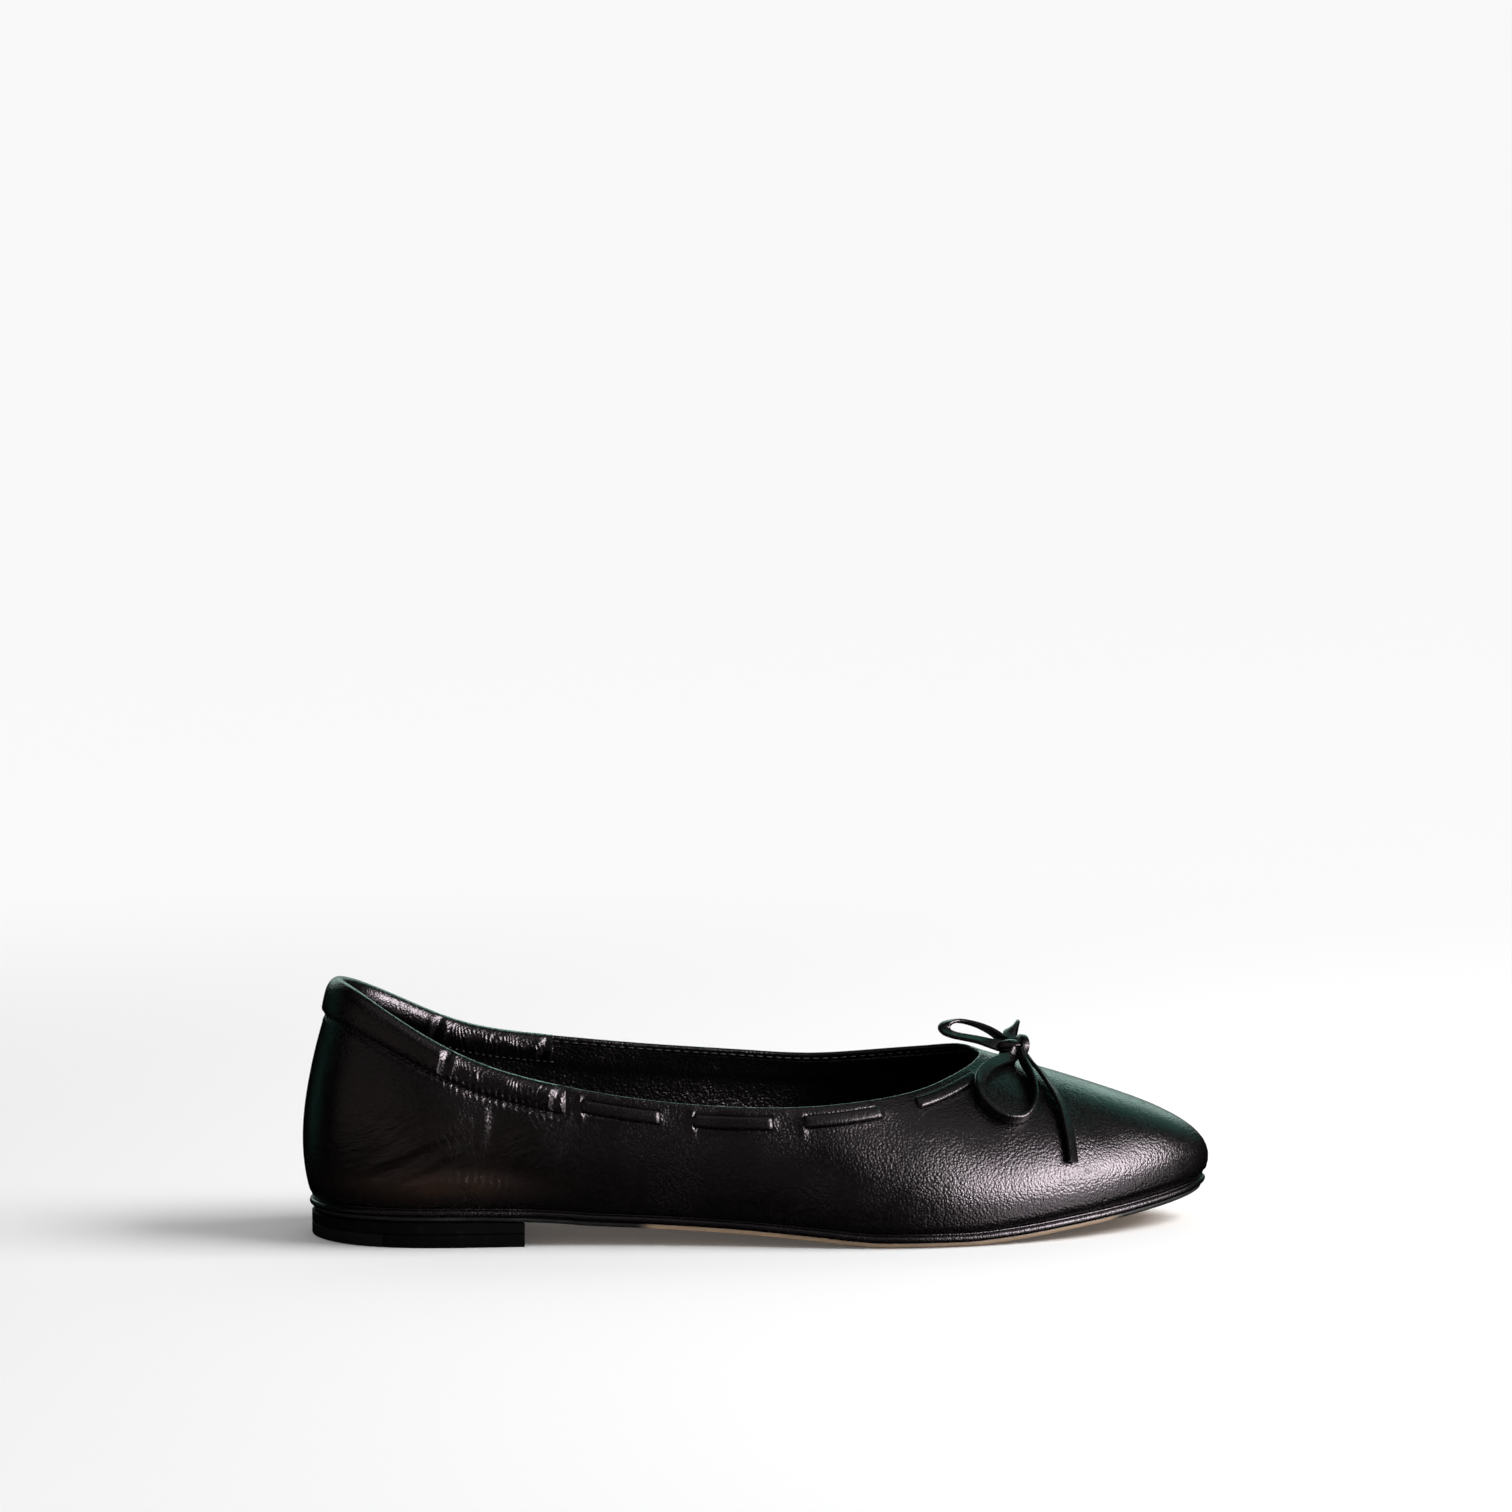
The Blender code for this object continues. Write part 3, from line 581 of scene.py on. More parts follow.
class Nodes:
    """The nodes of one material, round its Principled shader."""

    def __init__(self, name: str) -> None:
        """Makes the material."""
        self.material = bpy.data.materials.new(name)
        self.material.use_nodes = True
        self.tree = self.material.node_tree
        self.shader = self.tree.nodes["Principled BSDF"]

    def feed(self, socket: bpy.types.NodeSocket, value: Any) -> None:
        """Links a socket, or sets its number.

        Args:
            socket: The input.
            value: A wrapped number, an output socket or a plain value.
        """
        if isinstance(value, Value):
            value = value.socket
        if isinstance(value, bpy.types.NodeSocket):
            self.tree.links.new(value, socket)
        elif isinstance(value, tuple) and len(value) == 3 and socket.type == "RGBA":
            socket.default_value = (*value, 1.0)
        else:
            socket.default_value = value

    def add(self, kind: str, settings: dict[str, Any], inputs: dict[str | int, Any]) -> bpy.types.Node:
        """Adds a node.

        Args:
            kind: The node's type.
            settings: Its own settings, by name.
            inputs: What its sockets get, by name or number.

        Returns:
            The node.
        """
        node = self.tree.nodes.new(kind)
        for name, value in settings.items():
            setattr(node, name, value)
        for name, value in inputs.items():
            self.feed(node.inputs[name], value)
        return node

    def maths(self, operation: str, *numbers: Value | float) -> Value:
        """A Math node on one or two numbers."""
        node = self.add("ShaderNodeMath", {"operation": operation}, dict(enumerate(numbers)))
        return Value(self, node.outputs[0])

    def step(self, value: Value, low: float, high: float) -> Value:
        """A soft step of a value, 0 at low and 1 at high."""
        settings = {"interpolation_type": "SMOOTHSTEP"}
        inputs = {"Value": value, "From Min": low, "From Max": high}
        return Value(self, self.add("ShaderNodeMapRange", settings, inputs).outputs["Result"])

    def place(self) -> bpy.types.NodeSocket:
        """The point on the object, in its own metres."""
        return self.add("ShaderNodeTexCoord", {}, {}).outputs["Object"]

    def turned(self, place: bpy.types.NodeSocket, turn: Colour, stretch: Colour) -> bpy.types.NodeSocket:
        """A point for a pattern that is turned by angles in degrees and stretched along its own axes."""
        inputs = {"Vector": place, "Rotation": tuple(math.radians(t) for t in turn), "Scale": stretch}
        return self.add("ShaderNodeMapping", {"vector_type": "TEXTURE"}, inputs).outputs[0]

    def noise(self, place: bpy.types.NodeSocket, size: float, detail: float = 2.0) -> Value:
        """Cloudy noise of 0 to 1 with spots of a size."""
        inputs = {"Vector": place, "Scale": 1 / size, "Detail": detail}
        return Value(self, self.add("ShaderNodeTexNoise", {}, inputs).outputs[0])

    def strayed(self, place: bpy.types.NodeSocket, size: float, reach: float) -> bpy.types.NodeSocket:
        """A point moved by noise, so that a pattern on it is less even.

        Args:
            place: The point.
            size: The size of the noise's spots.
            reach: How far it moves, at most about half of this.

        Returns:
            The moved point.
        """
        cloud = self.add("ShaderNodeTexNoise", {}, {"Vector": place, "Scale": 1 / size, "Detail": 1.0})
        settings = {"operation": "MULTIPLY_ADD"}
        inputs = {0: cloud.outputs["Color"], 1: (reach, reach, reach), 2: place}
        return self.add("ShaderNodeVectorMath", settings, inputs).outputs[0]

    def pebbles(self, place: bpy.types.NodeSocket, size: float) -> Value:
        """Rounded pebbles of a size: 1 on their tops and near 0 between them."""
        settings = {"feature": "SMOOTH_F1"}
        inputs = {"Vector": place, "Scale": 1 / size, "Smoothness": 0.35}
        return 1 - 1.5 * Value(self, self.add("ShaderNodeTexVoronoi", settings, inputs).outputs[0])

    def weight(self, name: str) -> Value:
        """A number kept on the mesh's points."""
        return Value(self, self.add("ShaderNodeAttribute", {"attribute_name": name}, {}).outputs["Fac"])

    def along(self, place: bpy.types.NodeSocket, axis: str) -> Value:
        """One number of a point."""
        return Value(self, self.add("ShaderNodeSeparateXYZ", {}, {0: place}).outputs[axis])

    def mixed(self, share: Value, first: Any, second: Any) -> bpy.types.NodeSocket:
        """A colour between two."""
        inputs = {"Factor": share, 6: first, 7: second}
        return self.add("ShaderNodeMix", {"data_type": "RGBA"}, inputs).outputs[2]

    def relief(self, height: Value) -> None:
        """Feeds a height in metres to the shader's normal."""
        bump = self.add("ShaderNodeBump", {}, {"Height": height, "Distance": 1.0, "Strength": 1.0})
        self.feed(self.shader.inputs["Normal"], bump.outputs[0])

    def finish(self, colour: Any, roughness: Value | float, **constants: float) -> bpy.types.Material:
        """Sets the shader.

        Args:
            colour: The base colour.
            roughness: The roughness.
            **constants: Other inputs, with _ for each space in their names.

        Returns:
            The material.
        """
        self.feed(self.shader.inputs["Base Color"], colour)
        self.feed(self.shader.inputs["Roughness"], roughness)
        for name, value in constants.items():
            self.shader.inputs[name.replace("_", " ")].default_value = value
        return self.material


@dataclass(frozen=True)
class LeatherFinish:
    """Black leather with a pebble grain, fine pull lines, a little wear, a painted bronze sheen and painted
    highlights on its pebble tops.
    """

    name: str
    colour: Colour = (0.0011, 0.0010, 0.0011)
    # painted highlight: the colour of the pebbles' tops, lighter than the leather between them
    top_colour: Colour = (0.0058, 0.0052, 0.0054)
    # the brown of wear and of the painted bronze sheen
    wear_and_sheen_colour: Colour = (0.024, 0.013, 0.008)
    roughness: float = 0.23
    pebble: float = 0.00068
    grain_depth: float = 0.000072
    pull_depth: float = 0.00046
    specular: float = 0.45
    gloss_tint: Colour = (1.0, 0.87, 0.94)
    patch: float = 0.018
    line: float = 0.0011
    line_turn: Colour = (0, -24, 0)
    line_stretch: Colour = (7.0, 3.0, 1.0)
    line_stray: tuple[float, float] = (0.006, 0.002)
    # size of the spots that vary the wear and the painted sheen
    rub: float = 0.010

    def material(self) -> bpy.types.Material:
        """The material, which reads its mesh's weights for pulled leather and for wear with painted sheen,
        where it has them.
        """
        nodes = Nodes(self.name)
        place = nodes.place()
        strayed = nodes.strayed(place, self.pebble * 3, self.pebble * 0.9)
        pebbles = nodes.pebbles(strayed, self.pebble)
        small = nodes.noise(place, self.pebble * 0.35, 2.0)
        patches = nodes.step(nodes.noise(place, self.patch, 3.0), 0.35, 0.70)
        pull = nodes.weight("pull")
        wear_and_sheen = nodes.weight("wear_and_sheen")
        bent = nodes.strayed(place, *self.line_stray)
        lines = nodes.noise(nodes.turned(bent, self.line_turn, self.line_stretch), self.line, 2.0)
        grain = (pebbles * (0.75 + 0.5 * patches - 0.5 * pull) + 0.45 * small) * self.grain_depth
        nodes.relief(grain + lines * pull * self.pull_depth)
        # wear and painted sheen: brown is mixed in where the weight says so, and the bronze band along the
        # roll is a painted reflection
        wear_and_sheen_share = (0.55 + 0.9 * nodes.noise(place, self.rub, 3.0)) * wear_and_sheen
        # painted highlight: the pebbles' tops are coloured lighter
        black = nodes.mixed(nodes.step(pebbles, 0.0, 0.9), self.colour, self.top_colour)
        colour = nodes.mixed(wear_and_sheen_share, black, self.wear_and_sheen_colour)
        roughness = self.roughness + 0.05 * patches - 0.03 * pebbles
        nodes.shader.inputs["Specular Tint"].default_value = (*self.gloss_tint, 1.0)
        return nodes.finish(colour, roughness, Specular_IOR_Level=self.specular)


@dataclass(frozen=True)
class SoleFinish:
    """Smooth sole leather, tan where it isn't inked black, with fibres along it and scuffs."""

    name: str
    colour: Colour = (0.44, 0.29, 0.175)
    dark_colour: Colour = (0.31, 0.20, 0.115)
    ink: Colour = (0.010, 0.009, 0.009)
    roughness: float = 0.55
    fibre: float = 0.0008
    spot: float = 0.006
    bare_from: tuple[float, float] = (-0.036, -0.030)
    bare_to: tuple[float, float] = (0.094, 0.099)

    def material(self) -> bpy.types.Material:
        """The material: bare leather between two places along the shoe, inked edges beyond."""
        nodes = Nodes(self.name)
        place = nodes.place()
        x = nodes.along(place, "X")
        fibres = nodes.noise(nodes.turned(place, (0, 0, 0), (7, 1, 1)), self.fibre, 3.0)
        spots = nodes.step(nodes.noise(place, self.spot, 3.0), 0.40, 0.70)
        bare = nodes.step(x, *self.bare_from) * (1 - nodes.step(x, *self.bare_to))
        edge = nodes.weight("edge")
        inked = (1 - bare) * nodes.step(edge, 0.70, 0.95)
        tan = nodes.mixed(0.6 * spots + 0.4 * fibres, self.colour, self.dark_colour)
        nodes.relief(fibres * 0.00004 + spots * 0.00002)
        return nodes.finish(nodes.mixed(inked, tan, self.ink), self.roughness + 0.12 * spots - 0.15 * inked)


@dataclass(frozen=True)
class EdgeFinish:
    """Inked heel leather or moulded rubber: fine lines along the layers and small scuffs."""

    name: str
    colour: Colour = (0.0024, 0.0023, 0.0022)
    scuff_colour: Colour = (0.010, 0.0095, 0.009)
    roughness: float = 0.46
    layer: float = 0.0012
    layer_depth: float = 0.00004
    scuffs: float = 0.35
    scuff_size: float = 0.0035
    grit: float = 0.0006
    specular: float = 0.03

    def material(self) -> bpy.types.Material:
        """The material."""
        nodes = Nodes(self.name)
        place = nodes.place()
        layers = nodes.noise(nodes.turned(place, (0, 0, 0), (50, 50, 1)), self.layer, 2.0)
        grit = nodes.noise(place, self.grit, 3.0)
        scuffs = nodes.step(nodes.noise(place, self.scuff_size, 5.0), 0.58, 0.72) * self.scuffs
        nodes.relief(layers * self.layer_depth + grit * 0.000012 - scuffs * 0.00004)
        colour = nodes.mixed(scuffs, self.colour, self.scuff_colour)
        roughness = self.roughness + 0.15 * grit + 0.2 * scuffs
        return nodes.finish(colour, roughness, Specular_IOR_Level=self.specular)


@dataclass(frozen=True)
class ThreadFinish:
    """Waxed sewing thread, twisted."""

    name: str
    colour: Colour = (0.003, 0.003, 0.003)
    roughness: float = 0.62
    twist: float = 0.0002

    def material(self) -> bpy.types.Material:
        """The material."""
        nodes = Nodes(self.name)
        twist = nodes.noise(nodes.turned(nodes.place(), (35, 35, 0), (1, 3, 1)), self.twist, 1.0)
        nodes.relief(twist * 0.00004)
        return nodes.finish(self.colour, self.roughness + 0.15 * twist)


@dataclass(frozen=True)
class FloorFinish:
    """The pale floor: it takes the shoe's shadow near the middle and is evenly bright far off."""

    name: str = "pale_floor"
    colour: Colour = (0.86, 0.86, 0.86)
    far_colour: Colour = (0.03, 0.03, 0.03)
    glow: Colour = (0.05, 0.05, 0.05)
    far_glow: Colour = (0.93, 0.93, 0.93)
    near: float = 0.22
    far: float = 0.75

    def material(self) -> bpy.types.Material:
        """The material."""
        nodes = Nodes(self.name)
        off = nodes.add("ShaderNodeVectorMath", {"operation": "LENGTH"}, {0: nodes.place()}).outputs["Value"]
        share = nodes.step(Value(nodes, off), self.near, self.far)
        nodes.feed(nodes.shader.inputs["Emission Color"], nodes.mixed(share, self.glow, self.far_glow))
        colour = nodes.mixed(share, self.colour, self.far_colour)
        return nodes.finish(colour, 1.0, Specular_IOR_Level=0.0, Emission_Strength=1.0)


# Stitches


@dataclass(frozen=True)
class Stitching:
    """A run of stitches along a line, made by Geometry Nodes."""

    pitch: float
    length: float
    thickness: float

    def tree(self, finish: bpy.types.Material) -> bpy.types.GeometryNodeTree:
        """The tree that lays a stitch at each step of a line of edges.

        Args:
            finish: The thread's material.

        Returns:
            The tree, with the inputs Pitch, Length and Thickness.
        """
        tree = bpy.data.node_groups.new("stitches", "GeometryNodeTree")
        face = tree.interface
        face.new_socket("Geometry", in_out="INPUT", socket_type="NodeSocketGeometry")
        for name in ("Pitch", "Length", "Thickness"):
            face.new_socket(name, in_out="INPUT", socket_type="NodeSocketFloat")
        face.new_socket("Geometry", in_out="OUTPUT", socket_type="NodeSocketGeometry")

        def add(kind: str, inputs: dict[str, Any]) -> bpy.types.Node:
            """Adds a node and links or sets its inputs."""
            node = tree.nodes.new(kind)
            for name, value in inputs.items():
                if isinstance(value, bpy.types.NodeSocket):
                    tree.links.new(value, node.inputs[name])
                else:
                    node.inputs[name].default_value = value
            return node

        given = tree.nodes.new("NodeGroupInput").outputs
        line = add("GeometryNodeMeshToCurve", {"Mesh": given["Geometry"]})
        steps = add("GeometryNodeResampleCurve", {"Curve": line.outputs[0]})
        steps.mode = "LENGTH"
        tree.links.new(given["Pitch"], steps.inputs["Length"])
        thick = given["Thickness"]
        size = add("ShaderNodeCombineXYZ", {"X": given["Length"], "Y": thick, "Z": thick})
        ball = add("GeometryNodeMeshUVSphere", {"Segments": 8, "Rings": 6, "Radius": 0.5})
        stitch = add("GeometryNodeTransform", {"Geometry": ball.outputs[0], "Scale": size.outputs[0]})
        tangent = tree.nodes.new("GeometryNodeInputTangent")
        turn = add("FunctionNodeAlignRotationToVector", {"Vector": tangent.outputs[0]})
        turn.axis = "X"
        laid = add(
            "GeometryNodeInstanceOnPoints",
            {"Points": steps.outputs[0], "Instance": stitch.outputs[0], "Rotation": turn.outputs[0]},
        )
        real = add("GeometryNodeRealizeInstances", {"Geometry": laid.outputs[0]})
        dressed = add("GeometryNodeSetMaterial", {"Geometry": real.outputs[0], "Material": finish})
        tree.links.new(dressed.outputs[0], tree.nodes.new("NodeGroupOutput").inputs[0])
        return tree

    def sew(self, name: str, lines: Sequence[Array], finish: bpy.types.Material) -> bpy.types.Object:
        """Lays stitches along lines.

        Args:
            name: The piece's name.
            lines: The points of each line.
            finish: The thread's material.

        Returns:
            One plain mesh object of all the stitches.
        """
        points, edges = [], []
        for line in lines:
            first = len(points)
            points += line.tolist()
            edges += [(first + i, first + i + 1) for i in range(len(line) - 1)]
        mesh = bpy.data.meshes.new(name)
        mesh.from_pydata(points, edges, [])
        piece = put_in(mesh)
        sewing = piece.modifiers.new("stitches", "NODES")
        sewing.node_group = self.tree(finish)
        for socket in sewing.node_group.interface.items_tree:
            if socket.in_out == "INPUT" and socket.name != "Geometry":
                sewing[socket.identifier] = getattr(self, socket.name.lower())
        plain(piece).data.shade_smooth()
        return piece


# Drawstring


class Bar(NamedTuple):
    """One stretch of the lace that shows outside, in shares of the run from the throat to the casing."""

    start: float
    length: float


BARS = (
    Bar(0.127, 0.161),
    Bar(0.372, 0.153),
    Bar(0.592, 0.150),
    Bar(0.815, 0.150),
)


@dataclass
class Casing:
    """The folded collar that holds the elastic round the heel: where it lies and how it is gathered."""

    last: Last
    leather: float = 0.001
    puff: float = 0.0007
    depth_back: float = 0.0105
    depth_end: float = 0.0078
    end_from_back: float = 0.0696
    gather_from: float = 0.0315  # from the back, where the elastic begins to draw the leather in
    gather_fade: float = 0.008
    end_fade: float = 0.006
    tacks_from_back: tuple[float, ...] = (0.0385, 0.0680)
    tack_width: float = 0.0009
    tack_lip_off: float = 0.0020
    pitch: float = 0.0012
    fold: float = 0.000255
    stitch: float = 0.0019
    lean: float = 0.30  # how far the rows of stitches run back towards the heel on their way down
    dimple: float = 0.00018
    swell: float = 0.00022
    tack_lip: float = 0.0003
    tack_groove: float = 0.0006
    end_share: float = 0.42  # how much of its lift is left at its ends
    stations: int = 900

    @property
    def end_x(self) -> float:
        """Where the casing ends, on both sides."""
        return float(self.last.x_at(0)) + self.end_from_back

    def depth(self, x: Array) -> Array:
        """How far the casing comes down from the topline: deep at the back, shallow at its ends."""
        share = smooth((x - self.last.x_at(0)) / self.end_from_back)
        return self.depth_back + (self.depth_end - self.depth_back) * share

    def gathered(self, x: Array) -> Array:
        """How far the elastic draws the leather in, 0 to 1, along the shoe."""
        start = self.last.x_at(0) + self.gather_from
        ahead = smooth((self.end_x + self.end_fade - x) / self.end_fade)
        return smooth((x - start) / self.gather_fade) * ahead

    def folds(self, run: Array, depth: Array, pitch: float) -> Array:
        """The folds that the elastic makes, side by side across the collar.

        Args:
            run: Distance along the topline from the throat.
            depth: Distance below the topline.
            pitch: The usual distance between two folds.

        Returns:
            Their height, 0 in the valleys and about 1 on the crests.
        """
        place = np.stack([run, depth], -1)
        stray = 1.3 * Waves(5)(place, (pitch * 7, pitch * 6))
        turn = (run - 0.60 * depth) / pitch + stray
        crest = (0.5 + 0.5 * np.cos(2 * math.pi * turn)) ** 1.2
        return crest * np.clip(0.55 + 0.75 * Waves(6)(place, (pitch * 4, pitch * 6)), 0.05, 1.3)

    def tacks(self, x: Array) -> Array:
        """How near a place is to the rows of stitches that hold the elastic, 0 to 1."""
        back = self.last.x_at(0)
        return sum(bell((x - back - tack) / self.tack_width) for tack in self.tacks_from_back)

    def tack_lips(self, x: Array) -> Array:
        """How near a place is to the puckers that stand on both sides of those rows, 0 to 1."""
        back = self.last.x_at(0)
        offs = [np.abs(x - back - tack) - self.tack_lip_off for tack in self.tacks_from_back]
        return sum(bell(off / self.tack_width) for off in offs)

    def section(self, deep: float) -> Array:
        """The casing's section as (depth, lift) pairs, from its outer seam over the top to its inner seam.

        Args:
            deep: How far the casing comes down here.

        Returns:
            The pairs, in a closed ring.
        """
        out = self.last.gap + self.leather
        back = -self.last.wall - self.last.gap
        skin = self.leather + self.puff
        outer = [
            (deep * 0.975, 0.00005),
            (deep * 0.985, out * 0.30),
            (deep * 0.965, out * 0.62),
            (deep * 0.90, out * 0.95),
            (deep * 0.76, out + self.puff * 0.50),
            (deep * 0.56, out + self.puff * 0.93),
            (deep * 0.38, out + self.puff),
            (deep * 0.20, out + self.puff * 0.45),
            (deep * 0.08, out * 0.74),
            (deep * 0.012, out * 0.12),
            (0.0, back * 0.45),
        ]
        inner = [
            (deep * 0.012, back * 0.95),
            (deep * 0.09, back - self.leather * 0.75),
            (deep * 0.22, back - skin * 0.9),
            (deep * 0.45, back - skin - self.puff * 0.6),
            (deep * 0.70, back - skin - self.puff * 0.3),
            (deep * 0.90, back - self.leather),
            (deep * 0.985, back - self.leather * 0.6),
            (deep, back + 0.0001),
        ]
        visible = through(outer + inner, 53)
        channel = self.leather + self.last.gap
        hidden = np.array([(channel * 2, back + 0.0001), (channel, back * 0.5), (channel * 2, 0.0)])
        return np.concatenate([visible, hidden])

    def places(self) -> Array:
        """Places round the topline from the casing's outer end, past the back seam, to its inner end."""
        fine = np.linspace(-0.4, 0.4, 3201)
        covered = fine[self.last.topline(fine)[:, 0] < self.end_x]
        return np.linspace(covered[0], covered[-1], self.stations)

    def build(self, run: Callable[[Array], Array], finish: bpy.types.Material) -> bpy.types.Object:
        """Makes the casing.

        Args:
            run: Gives the distance along the topline from the throat.
            finish: Its leather.

        Returns:
            The finished piece.
        """
        at = self.places()
        x = self.last.topline(at)[:, 0]
        section = np.array([self.section(deep) for deep in self.depth(x)])
        depth, lift = section[..., 0], section[..., 1]
        way = np.where(lift > -self.last.wall / 2, 1.0, -1.0)
        full = smooth((self.end_x - x + 0.0002) / 0.0030)[:, None]
        thin = self.end_share + (1 - self.end_share) * full
        lift = np.where(lift > 0, lift * thin, lift)
        gone = np.broadcast_to(run(at)[:, None], depth.shape)
        drawn = self.gathered(x)[:, None]
        share = depth / self.depth(x)[:, None]
        folds = self.folds(gone, way * depth, self.pitch) - 0.45
        swell = np.sin(np.pi * np.clip(share, 0.0, 1.0)) ** 0.4
        dimples = np.cos(2 * math.pi * gone / self.stitch) * bell((share - 0.92) / 0.12)
        soft = Waves(22)(np.stack([gone, depth * 2], -1), (0.020, 0.03))
        upper_half = 1.0 - 0.65 * smooth((share - 0.45) / 0.35)
        rise = drawn * folds * swell * upper_half * self.fold
        rise += dimples * self.dimple + soft * self.swell * swell
        leaning = x[:, None] + self.lean * depth
        rise += (self.tack_lips(leaning) * self.tack_lip - self.tacks(leaning) * self.tack_groove) * swell
        shown = np.arange(section.shape[1]) < section.shape[1] - 3
        made = self.last.skin(at, depth, lift + way * rise * shown)
        mesh = tube("casing_leather", made.place)
        even = np.ones_like(depth)
        weigh_near(mesh, made.place, {"pull": 0.6 * drawn * even, "wear_and_sheen": 0.05 * even})
        return settle(put_in(mesh), finish, Slot.UPPER, "collar_casing")


def weigh_near(mesh: bpy.types.Mesh, points: Array, weights: dict[str, Array]) -> None:
    """Keeps numbers on a mesh whose points may have been merged or put in another order.

    Args:
        mesh: The mesh.
        points: The points that the numbers were worked out for.
        weights: For each name, a number for each of those points.
    """
    order = {tuple(np.round(point, 6)): i for i, point in enumerate(points.reshape(-1, 3).astype(np.float32))}
    picks = [order.get(tuple(np.round(np.array(v.co, np.float32), 6)), 0) for v in mesh.vertices]
    for name, numbers in weights.items():
        weigh(mesh, name, numbers.ravel()[picks])


@dataclass
class LaceLine:
    """The line that the lace follows on one side, measured from the middle of the throat."""

    last: Last
    casing: Casing
    side: Side
    depth: float = 0.0046
    knot_depth: float = 0.0086
    exit_from_throat: float = 0.0028
    at: Array = field(init=False)
    gone: Array = field(init=False)
    run: float = field(init=False)

    def __post_init__(self) -> None:
        """Measures the line."""
        self.at = self.last.throat + self.side.value * np.linspace(0, 0.42, 601)
        line = self.last.points(self.at, np.full((601, 1), self.depth))[:, 0]
        self.gone = lengths_along(line)
        self.run = float(np.interp(-self.casing.end_x, -self.last.topline(self.at)[:, 0], self.gone))

    def places(self) -> list[float]:
        """The distances from the throat at which the lace goes through the wall, in order."""
        ends = [share * self.run for bar in BARS for share in (bar.start, bar.start + bar.length)]
        return [self.exit_from_throat, *ends]

    def depth_at(self, distance: Array) -> Array:
        """How far below the topline the lace lies: lower near the knot."""
        first = BARS[0].start * self.run
        near = smooth((first - distance) / (first - self.exit_from_throat))
        return self.depth + (self.knot_depth - self.depth) * near

    def at_of(self, distance: Array) -> Array:
        """Places round the shoe of distances along the line."""
        return np.interp(distance, self.gone, self.at)

    def distance_of(self, at: Array) -> Array:
        """Distances along the line of places round the shoe, on this side."""
        return np.interp(np.abs(at - self.last.throat), np.abs(self.at - self.last.throat), self.gone)

    def beside(self, at: Array) -> tuple[Array, Array]:
        """Which columns of places round the shoe are on this side, and their distances along the line."""
        on_side = (at < self.last.throat) == (self.side is Side.OUTER)
        return on_side[:, None], self.distance_of(at)[:, None]

    def skin(self, distance: Array, lift: Array) -> Skin:
        """Points along the line, so far off the leather, with the directions there."""
        made = self.last.skin(self.at_of(distance), self.depth_at(distance)[:, None], lift[:, None])
        return Skin(*(part[:, 0] for part in made))


def ribbon(centres: Array, across: Array, width: float, thickness: float, dome: float = 0.12) -> Array:
    """Rings of a flat strip along a line, with round edges.

    Args:
        centres: The line.
        across: The way of the strip's width at each point.
        width: Its width.
        thickness: Its thickness.
        dome: How far its faces bulge, as a share of half its thickness.

    Returns:
        One ring of points for each point of the line.
    """
    along = unit(np.gradient(centres, axis=0))
    flat = unit(across - along * (across * along).sum(1, keepdims=True))
    up = np.cross(along, flat)
    half, high = width / 2, thickness / 2
    cut = high * 0.35
    corners = [(cut - half, high), (half - cut, high)]
    corners[1:1] = [(half * a, high * (1 + dome * (1 - a * a))) for a in (-0.55, 0.0, 0.55)]
    edge = [(half, high - cut), (half + cut * 0.25, 0.0), (half, cut - high)]
    ring = corners + edge + [(a, -b) for a, b in corners[::-1]] + [(-a, -b) for a, b in edge]
    return np.stack([centres + flat * a + up * b for a, b in ring], 1)


@dataclass
class Drawstring:
    """The flat lace of one side, in and out of its slits."""

    line: LaceLine
    leather_thickness: float = 0.0006
    width: float = 0.0034
    thickness: float = 0.0011
    sunk: float = 0.00018
    bend: float = 0.0008
    tail_in: float = 0.0019

    def route(self) -> Array:
        """(distance, lift) pairs from the knot to the casing: outside for each bar, inside between them."""
        outer = self.thickness / 2 - self.sunk
        inner = -self.leather_thickness - 0.0001 - self.thickness / 2
        places = self.line.places()
        route = [(self.line.exit_from_throat - self.width * 0.5, outer)]
        here, there = outer, inner
        for number, end in enumerate(places):
            way = math.copysign(min(self.bend, abs(there - here) / 2), there - here)
            for turn in np.radians(np.linspace(0, 90, 6)):
                route.append((end - self.bend * (1 - math.sin(turn)), here + way * (1 - math.cos(turn))))
            for turn in np.radians(np.linspace(0, 90, 6)):
                route.append((end + self.bend * (1 - math.cos(turn)), there - way * (1 - math.sin(turn))))
            if number + 1 < len(places):
                steps = max(int((places[number + 1] - end) / 0.0006), 3)
                inner_steps = np.linspace(end + self.bend, places[number + 1] - self.bend, steps)[1:-1]
                route.extend((step, there) for step in inner_steps)
            here, there = there, here
        route.append((places[-1] + self.tail_in, here))
        return np.array(route)

    def build(self, name: str, node: str, finish: bpy.types.Material) -> bpy.types.Object:
        """Makes the lace.

        Args:
            name: The piece's name.
            node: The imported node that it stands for.
            finish: Its leather.

        Returns:
            The finished piece.
        """
        route = self.route()
        keep = np.concatenate([[True], np.linalg.norm(np.diff(route, axis=0), axis=1) > 1e-5])
        route = route[keep]
        bars = self.line.skin(route[:, 0], route[:, 1])
        mesh = tube(name, ribbon(bars.place, bars.down, self.width, self.thickness, 0.30))
        return settle(put_in(mesh), finish, Slot.LACE, node)


# Upper


